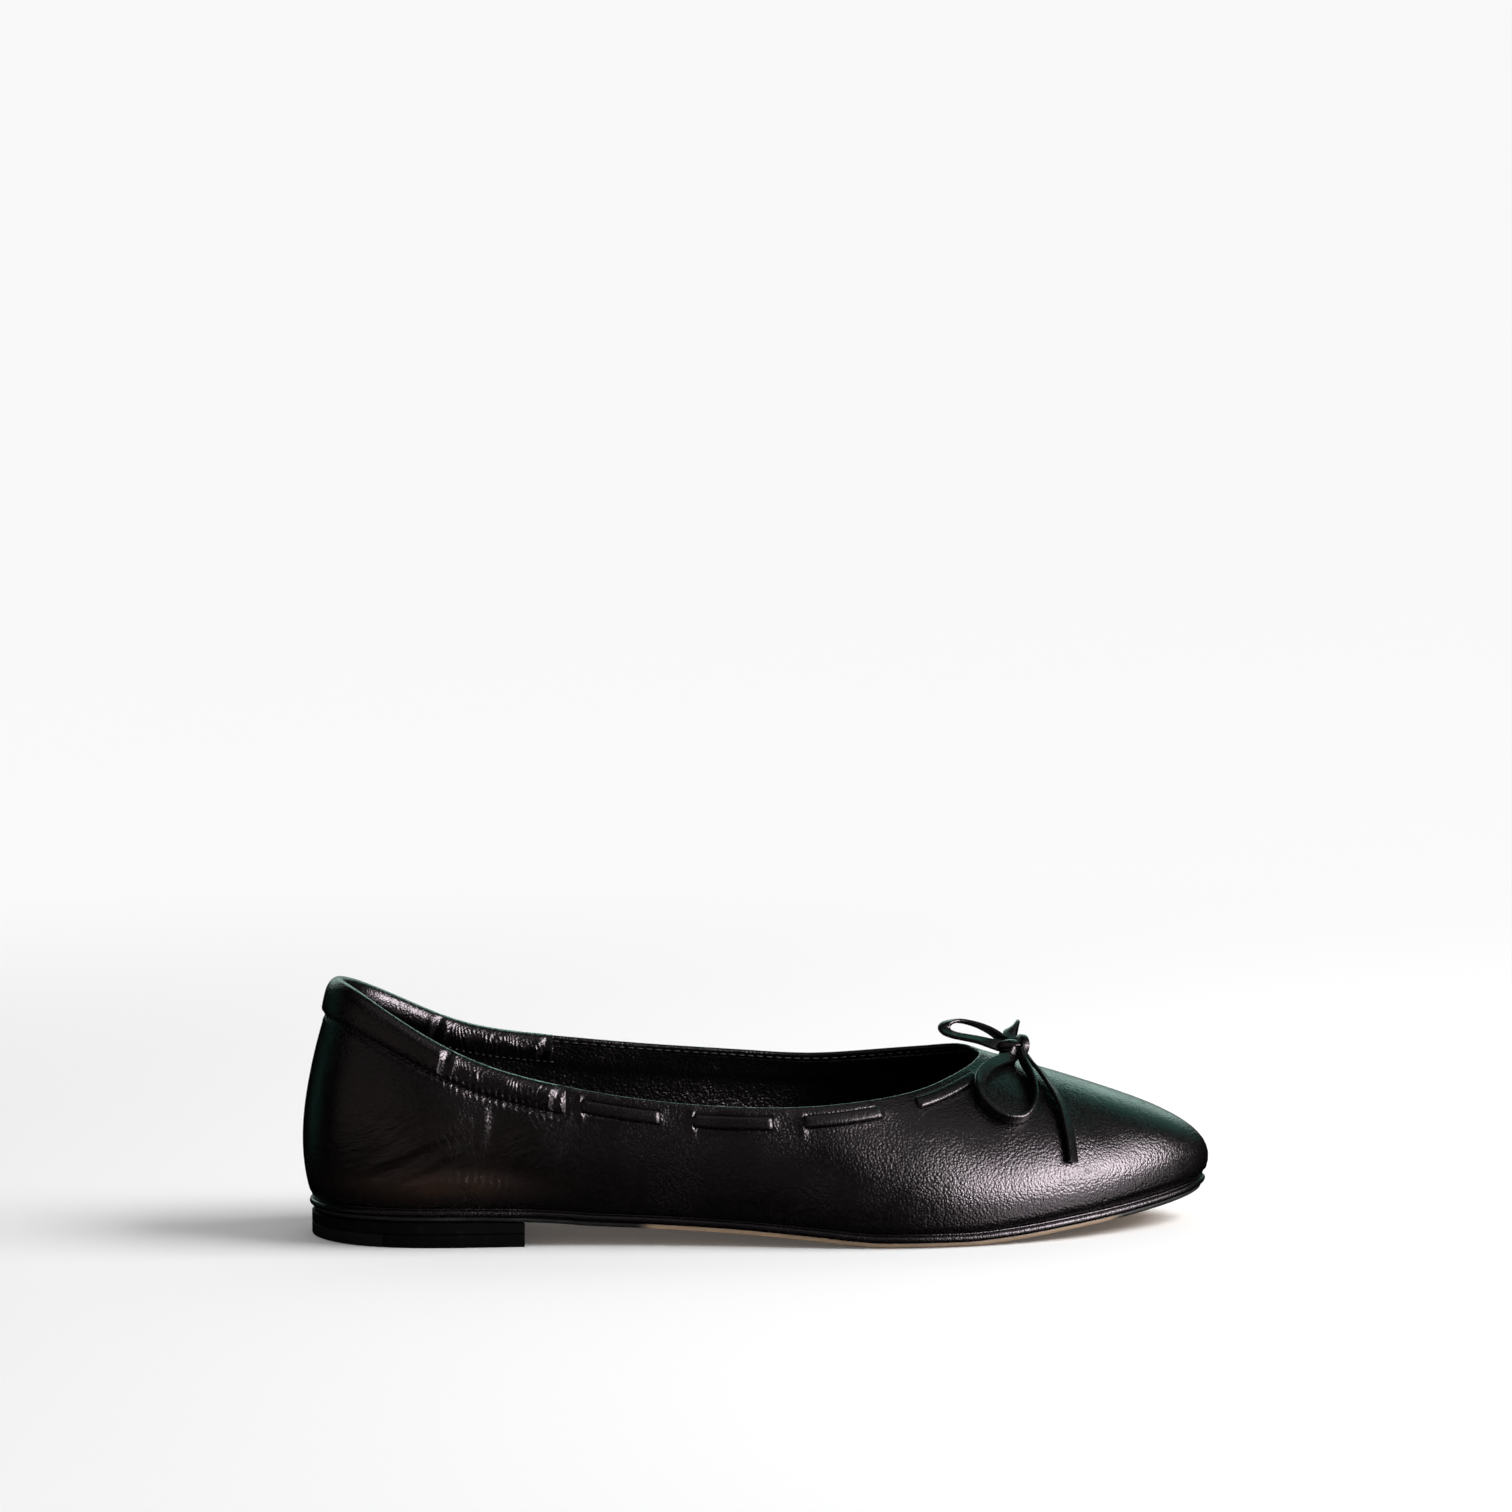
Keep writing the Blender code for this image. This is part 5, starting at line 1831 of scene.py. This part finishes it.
@dataclass
class Plates:
    """Flat pieces with the last's outline, such as soles and lifts."""

    last: Last
    across: int = 16

    def stations(
        self, first: float, last: float, count: int, round_back: bool, round_toe: bool
    ) -> tuple[Array, Array]:
        """Places round the feather line in pairs, outer and inner, at the same distances along the shoe.

        Args:
            first: Where the piece begins along the shoe.
            last: Where it ends.
            count: How many pairs.
            round_back: Whether it goes round the back.
            round_toe: Whether it goes round the toe.

        Returns:
            The places on the outer side and those on the inner side.
        """
        fine = np.linspace(0, 1, 4801)
        x = self.last.foot_line(fine)[:, 0]
        toe = int(np.argmax(x))
        half = 800
        back = int(np.argmin(np.concatenate([x[:half], x[-half:]])))
        first, last = max(first, x.min()), min(last, x.max())
        turn = np.linspace(0, math.pi, count)
        if round_back and round_toe:
            share = (1 - np.cos(turn)) / 2
        elif round_back:
            share = 1 - np.cos(turn / 2)
        else:
            share = turn / math.pi
        reach = first + (last - first) * share
        start = fine[back] if back < half else fine[len(x) - 2 * half + back] - 1
        outer = np.interp(reach, x[: toe + 1], fine[: toe + 1])
        inner = np.interp(reach, x[toe:][::-1], fine[toe:][::-1])
        if round_back:
            outer[0], inner[0] = start, start + 1
        return outer, inner

    def mesh(
        self,
        name: str,
        span: tuple[float, float],
        levels: Sequence[tuple[float, Callable[[Array], Array]]],
        count: int = 200,
        ends: tuple[bool, bool] = (True, True),
        dish: float = 0.0,
    ) -> bpy.types.Mesh:
        """A piece between two places along the shoe.

        Args:
            name: The mesh's name.
            span: Where it begins and ends along the shoe.
            levels: (inset, height of x) pairs, from the underside up to the top face.
            count: How many pairs of places along it.
            ends: Whether it goes round the back and round the toe.
            dish: How much lower the middle of its top face lies.

        Returns:
            The mesh, with the weight edge on the points of its sides.
        """
        outer, inner = self.stations(*span, count, *ends)
        rings = []
        for inset, height in levels:
            sides = []
            for at in (outer, inner):
                flat = self.last.inset_line(at, inset)
                sides.append(np.column_stack([flat, height(flat[:, 0])]))
            rings.append(np.concatenate([sides[0], sides[1][::-1]]))
        around = 2 * count
        points = [np.array(rings).reshape(-1, 3)]
        faces = []
        for i in range(len(levels) - 1):
            faces += between(i * around, (i + 1) * around, around)
        made = len(points[0])
        share = np.linspace(0, 1, self.across + 1)[1:-1]
        for level, depth in ((0, 0.0), (len(levels) - 1, dish)):
            ring = rings[level]
            left, right = ring[:count], ring[count:][::-1]
            inside = left[:, None] + (right - left)[:, None] * share[:, None]
            inside[..., 2] -= depth * np.sin(np.pi * share) ** 0.7
            points.append(inside.reshape(-1, 3))
            index = np.empty((count, self.across + 1), int)
            index[:, 0] = level * around + np.arange(count)
            index[:, -1] = level * around + around - 1 - np.arange(count)
            index[:, 1:-1] = made + np.arange(inside.shape[0] * inside.shape[1]).reshape(inside.shape[:2])
            made += inside.shape[0] * inside.shape[1]
            corners = [index[:-1, :-1], index[1:, :-1], index[1:, 1:], index[:-1, 1:]]
            faces += np.stack(corners, -1).reshape(-1, 4).tolist()
        places = np.concatenate(points)
        edge = np.zeros(len(places))
        edge[: around * len(levels)] = 1.0
        mesh = mesh_of(name, places, faces, 35)
        weigh_near(mesh, places, {"edge": edge})
        return mesh


@dataclass
class Sole:
    """Everything under the upper: sock, rand, outsole and heel."""

    last: Last
    plates: Plates
    reach: float = 0.0004
    outsole_inset: float = 0.0008
    outsole_bevel: float = 0.0012
    insole_thickness: float = 0.002
    insole_clearance: float = 0.0007
    heel_length: float = 0.0584
    heel_inset: float = 0.0002
    top_piece: float = 0.0036
    tip_length: float = 0.0198

    def over(self, lift: float) -> Callable[[Array], Array]:
        """A height function: so far above the outsole's underside."""
        return lambda x: self.last.under(x) + lift

    @property
    def whole(self) -> tuple[float, float]:
        """From the back of the sole to its toe."""
        return float(self.last.x_at(0)), float(self.last.x_at(1))

    def rand(self, finish: bpy.types.Material) -> bpy.types.Object:
        """Makes the round strip between the upper and the outsole.

        Args:
            finish: Its leather.

        Returns:
            The finished piece.
        """
        gap = self.last.gap
        radius = (self.last.midsole_thickness - gap) / 2
        middle = self.last.outsole_thickness + gap * 0.5 + radius
        levels = []
        for turn in np.radians(np.linspace(-90, 60, 11)):
            inset = radius * (1 - math.cos(turn)) - self.reach
            levels.append((inset, self.over(middle + radius * math.sin(turn))))
        bead = radius * 0.32
        top = middle + radius * math.sin(math.radians(60))
        for turn in np.radians(np.linspace(-60, 150, 8)):
            inset = radius * 0.80 - self.reach - bead * (math.cos(turn) - 0.5)
            levels.append((inset, self.over(top + bead * (0.87 + math.sin(turn)))))
        levels.append((self.last.ball_width * 0.06, self.over(top + bead * 1.2)))
        mesh = self.plates.mesh("rand", self.whole, levels, 330)
        weigh(mesh, "pull", 0.5)
        weigh(mesh, "wear_and_sheen", 0.0)
        return settle(put_in(mesh), finish, Slot.RAND, "midsole")

    def outsole(self, finish: bpy.types.Material) -> bpy.types.Object:
        """Makes the thin outsole with its bevelled lower edge."""
        inset, thick = self.outsole_inset, self.last.outsole_thickness
        bevel = self.outsole_bevel
        levels = [
            (inset + bevel, self.over(0.0)),
            (inset + bevel * 0.55, self.over(thick * 0.08)),
            (inset + bevel * 0.22, self.over(thick * 0.24)),
            (inset + bevel * 0.04, self.over(thick * 0.48)),
            (inset, self.over(thick * 0.75)),
            (inset, self.over(thick + self.last.gap * 0.4)),
        ]
        mesh = self.plates.mesh("outsole_leather", self.whole, levels, 300)
        return settle(put_in(mesh), finish, Slot.SOLE, "outsole")

    def sock(self, finish: bpy.types.Material) -> bpy.types.Object:
        """Makes the sock that lies on the lasted margin inside."""
        low = self.last.outsole_thickness + self.last.midsole_thickness + self.last.wall + 2 * self.last.gap
        inset = self.last.wall + self.insole_clearance
        thick = self.insole_thickness
        levels = [
            (inset, self.over(low)),
            (inset, self.over(low + thick * 0.55)),
            (inset + thick * 0.10, self.over(low + thick * 0.80)),
            (inset + thick * 0.35, self.over(low + thick * 0.95)),
            (inset + thick * 0.80, self.over(low + thick)),
        ]
        mesh = self.plates.mesh("sock", self.whole, levels, 200, dish=thick * 0.25)
        weigh(mesh, "pull", 0.0)
        weigh(mesh, "wear_and_sheen", 0.0)
        return settle(put_in(mesh), finish, Slot.SOCK, "insole")

    def heel(self, leather: bpy.types.Material, rubber: bpy.types.Material) -> list[bpy.types.Object]:
        """Makes the lift and the two halves of the top piece.

        Args:
            leather: The inked leather.
            rubber: The tip's rubber.

        Returns:
            The finished pieces.
        """
        back = float(self.last.x_at(0))
        breast, tip_end = back + self.heel_length, back + self.tip_length
        inset, gap, high = self.heel_inset, self.last.gap, self.top_piece
        soft = 0.00025

        def level(height: float) -> Callable[[Array], Array]:
            """A height function that is the same all along."""
            return lambda x: np.full_like(x, height)

        lift = [
            (inset + soft, level(high + gap * 0.3)),
            (inset, level(high + gap * 0.3 + soft)),
            (inset, self.over(-gap * 0.3 - soft)),
            (inset + soft, self.over(-gap * 0.3)),
        ]
        flat = [
            (inset + 2 * soft, level(0.0)),
            (inset + soft * 0.6, level(soft * 0.6)),
            (inset, level(soft * 2)),
            (inset, level(high - soft)),
            (inset + soft, level(high)),
        ]
        front = (tip_end + gap * 0.1, breast)
        made = []
        for name, node, span, levels, round_back, finish, slot in (
            ("heel_lift_leather", "heel_lift", (back, breast), lift, True, leather, Slot.HEEL),
            ("heel_tip_rubber", "heel_tip", (back, tip_end), flat, True, rubber, Slot.TIP),
            ("top_piece_leather", "heel_top_piece", front, flat, False, leather, Slot.HEEL),
        ):
            mesh = self.plates.mesh(name, span, levels, 90, (round_back, False))
            made.append(settle(put_in(mesh), finish, slot, node))
        return made


# Seams


@dataclass
class Seams:
    """The rows of stitches that show."""

    last: Last
    casing: Casing
    upper: Upper
    thread: bpy.types.Material

    def along_topline(self) -> bpy.types.Object:
        """Makes the row that holds the turned edge, inside under the topline between the casing's ends."""
        fine = np.linspace(0, 1, 1600)
        shown = fine[self.last.topline(fine)[:, 0] > self.casing.end_x + 0.001]
        line = self.last.skin(shown, np.full((len(shown), 1), 0.00135), -0.00147).place[:, 0]
        stitches = Stitching(pitch=0.0026, length=0.0019, thickness=0.00034)
        piece = stitches.sew("topline_stitches", [line], self.thread)
        return settle(piece, self.thread, Slot.UPPER)

    def round_casing(self) -> bpy.types.Object:
        """Makes the rows along the casing's lower edge, outside and inside."""
        at = self.casing.places()[2:-2]
        deep = self.casing.depth(self.last.topline(at)[:, 0])[:, None]
        back = -self.last.wall - self.last.gap - self.casing.leather
        outside = self.last.skin(at, deep + 0.0002, np.full_like(deep, 0.00002)).place[:, 0]
        inside = self.last.skin(at, deep * 0.93, np.full_like(deep, back * 0.97)).place[:, 0]
        stitches = Stitching(pitch=self.casing.stitch, length=0.0012, thickness=0.00034)
        piece = stitches.sew("casing_stitches", [outside, inside], self.thread)
        return settle(piece, self.thread, Slot.UPPER)

    def tacks(self) -> bpy.types.Object:
        """Makes the close zigzag rows across the casing that hold the elastic's ends."""
        at = self.casing.places()
        x = self.last.topline(at)[:, 0]
        back = float(self.last.x_at(0))
        around = np.linalg.norm(np.diff(self.last.topline(np.linspace(0, 1, 400)), axis=0), axis=1).sum()
        lines = []
        for from_back in self.casing.tacks_from_back:
            for side in (-1, 1):
                on_side = np.flatnonzero(np.sign(np.mod(at, 1.0) - 0.5) == side)
                centre = at[on_side[np.abs(x[on_side] - back - from_back).argmin()]]
                steps = np.arange(14)
                deep = float(self.casing.depth(np.array(back + from_back)))
                depth = (deep * np.linspace(0.10, 0.92, 14))[:, None]
                leaning = side * self.casing.lean * depth[:, 0] / around
                zigzag = centre + leaning + 0.0011 * np.where(steps % 2, 1, -1)
                lift = 0.00075 + 0.0003 * np.sin(np.pi * depth / deep)
                lines.append(self.last.skin(zigzag, depth, lift).place[:, 0])
        stitches = Stitching(pitch=0.0007, length=0.0011, thickness=0.00036)
        piece = stitches.sew("elastic_tacks", lines, self.thread)
        return settle(piece, self.thread, Slot.UPPER)

    def build(self) -> list[bpy.types.Object]:
        """Makes all the rows."""
        return [self.along_topline(), self.round_casing(), self.tacks()]


# Studio


def away_from_shoe(azimuth: float, elevation: float) -> Vector:
    """The way from the shoe to a place round it, by angles in degrees."""
    turn, above = math.radians(azimuth), math.radians(elevation)
    return Vector((math.sin(turn) * math.cos(above), -math.cos(turn) * math.cos(above), math.sin(above)))


class Sight(Enum):
    """What a light is seen by: what is matt, what is glossy, or both."""

    MATT = "matt"
    GLOSS = "gloss"
    BOTH = "both"


@dataclass(frozen=True)
class SoftLight:
    """A soft box that faces the shoe."""

    name: str
    azimuth: float  # degrees from the front towards the toe
    elevation: float
    distance: float
    size: tuple[float, float]
    radiance: float
    colour: Colour = (1.0, 1.0, 1.0)
    sight: Sight = Sight.BOTH

    def hang(self) -> bpy.types.Object:
        """Makes the light."""
        lamp = bpy.data.lights.new(self.name, "AREA")
        lamp.shape = "RECTANGLE"
        lamp.size, lamp.size_y = self.size
        lamp.energy = self.radiance * math.pi * lamp.size * lamp.size_y
        lamp.color = self.colour
        made = bpy.data.objects.new(self.name, lamp)
        bpy.context.scene.collection.objects.link(made)
        away = away_from_shoe(self.azimuth, self.elevation)
        made.location = away * self.distance
        made.rotation_mode = "QUATERNION"
        made.rotation_quaternion = (-away).to_track_quat("-Z", "Y")
        made.visible_diffuse = self.sight is not Sight.GLOSS
        made.visible_glossy = self.sight is not Sight.MATT
        return made


@dataclass(frozen=True)
class Studio:
    """The pale floor, the soft lights and the camera at the photograph's angle."""

    azimuth: float = -5.5
    elevation: float = 9.5
    distance: float = 2.0
    lens: float = 172.6
    sensor: float = 36.0
    image: int = 1512
    target: tuple[float, float, float] = (0.0, 0.0, 0.030)
    target_pixel: tuple[float, float] = (757.9, 1118.3)
    room_light: float = 0.21
    lights: tuple[SoftLight, ...] = (
        SoftLight("sky", 78, 42, 1.8, (1.15, 1.05), 9.8, sight=Sight.MATT),
        SoftLight("window", 52, 23, 1.6, (1.12, 1.05), 14.0, sight=Sight.GLOSS),
        SoftLight("window_core", 52, 17, 1.6, (0.80, 0.62), 17.0, sight=Sight.GLOSS),
        SoftLight("window_in_table", 53, -14, 1.6, (1.2, 0.6), 3.6, sight=Sight.GLOSS),
        SoftLight("overhead", 10, 70, 1.8, (2.6, 1.3), 0.36),
        SoftLight("cool_card", 150, 36, 2.0, (2.0, 1.2), 0.55, (0.34, 1.0, 0.80), sight=Sight.GLOSS),
        SoftLight("front_card", -48, 9, 2.2, (3.2, 1.4), 0.21, (1.0, 0.90, 0.86), sight=Sight.GLOSS),
        SoftLight("back_window", 180, 20, 2.4, (2.6, 0.9), 1.8, (0.75, 1.0, 0.92), sight=Sight.GLOSS),
        SoftLight("heel_strip", -126, 12, 1.6, (0.18, 1.2), 0.30, (0.3, 1.0, 0.8), sight=Sight.GLOSS),
    )

    def camera(self) -> bpy.types.Object:
        """Makes the camera: it stands so far from the target and is turned to put it on its pixel."""
        lens = bpy.data.cameras.new("photo_camera")
        lens.lens, lens.sensor_width = self.lens, self.sensor
        lens.clip_end = 100.0
        made = bpy.data.objects.new("photo_camera", lens)
        bpy.context.scene.collection.objects.link(made)
        back = away_from_shoe(self.azimuth, self.elevation)
        made.location = Vector(self.target) + back * self.distance
        focal = self.image * self.lens / self.sensor
        right = (-back).cross(Vector((0, 0, 1))).normalized()
        up = right.cross(-back)
        yaw, pitch = (math.atan((pixel - self.image / 2) / focal) for pixel in self.target_pixel)
        axis = Matrix.Rotation(yaw, 3, up) @ (Matrix.Rotation(pitch, 3, right) @ -back)
        made.rotation_mode = "QUATERNION"
        made.rotation_quaternion = axis.to_track_quat("-Z", "Y")
        bpy.context.scene.camera = made
        return made

    def floor(self) -> bpy.types.Object:
        """Makes the floor, which curves up far behind the shoe."""
        radius, far, near, wide, high = 1.2, 2.5, -4.0, 6.0, 5.0
        turn = np.radians(np.linspace(0, 90, 24))
        curve = zip(far + radius * np.sin(turn), radius - radius * np.cos(turn))
        profile = [(near, 0.0), *curve, (far + radius, high)]
        points = [(x, y, z) for y, z in profile for x in (-wide, wide)]
        faces = [(2 * i, 2 * i + 1, 2 * i + 3, 2 * i + 2) for i in range(len(profile) - 1)]
        mesh = bpy.data.meshes.new("floor")
        mesh.from_pydata(points, [], faces)
        mesh.shade_smooth()
        mesh.materials.append(FloorFinish().material())
        made = put_in(mesh)
        made.visible_glossy = False
        made.visible_shadow = False
        return made

    def build(self) -> None:
        """Makes the studio."""
        self.camera()
        self.floor()
        for light in self.lights:
            light.hang()
        world = bpy.data.worlds.new("soft_room")
        bpy.context.scene.world = world
        world.use_nodes = True
        background = world.node_tree.nodes["Background"].inputs
        background["Color"].default_value = (1.0, 1.0, 1.0, 1.0)
        background["Strength"].default_value = self.room_light
        world.cycles_visibility.glossy = False
        bpy.context.scene.view_settings.view_transform = "Standard"


def main() -> None:
    """Builds the shoe over the frame."""
    logging.basicConfig(level=logging.INFO, format="%(name)s: %(message)s")
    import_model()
    Studio().build()

    nappa = LeatherFinish("black_nappa").material()
    lace = LeatherFinish("lace_nappa", pebble=0.0006, grain_depth=0.00004, roughness=0.26)
    lace_leather = lace.material()
    lining = LeatherFinish("lining_leather", pebble=0.0008, grain_depth=0.00014, roughness=0.24)
    lining_leather = lining.material()
    rand = LeatherFinish("rand_leather", pebble=0.0006, pull_depth=0.00004, roughness=0.24)
    rand_leather = rand.material()
    thread = ThreadFinish("black_thread").material()

    last = Last()
    casing = Casing(last)
    lines = {side: LaceLine(last, casing, side) for side in Side}
    Bow(last).build(lace_leather)
    upper = Upper(last, casing, lines)
    upper.build(nappa)
    Lining(last, casing, lines).build(lining_leather)
    casing.build(upper.run, nappa)
    Drawstring(lines[Side.OUTER]).build("lace_outer_leather", "lace_outer", lace_leather)
    Drawstring(lines[Side.INNER]).build("lace_inner_leather", "lace_inner", lace_leather)
    sole = Sole(last, Plates(last))
    sole.rand(rand_leather)
    sole.outsole(SoleFinish("tan_sole_leather").material())
    sole.sock(lining_leather)
    heel_leather = EdgeFinish("inked_heel_leather").material()
    grey = (0.0065, 0.0065, 0.0070)
    rubber = EdgeFinish("black_rubber", colour=grey, roughness=0.55, layer_depth=0.00001)
    sole.heel(heel_leather, rubber.material())
    Seams(last, casing, upper, thread).build()


if __name__ == "__main__":
    main()
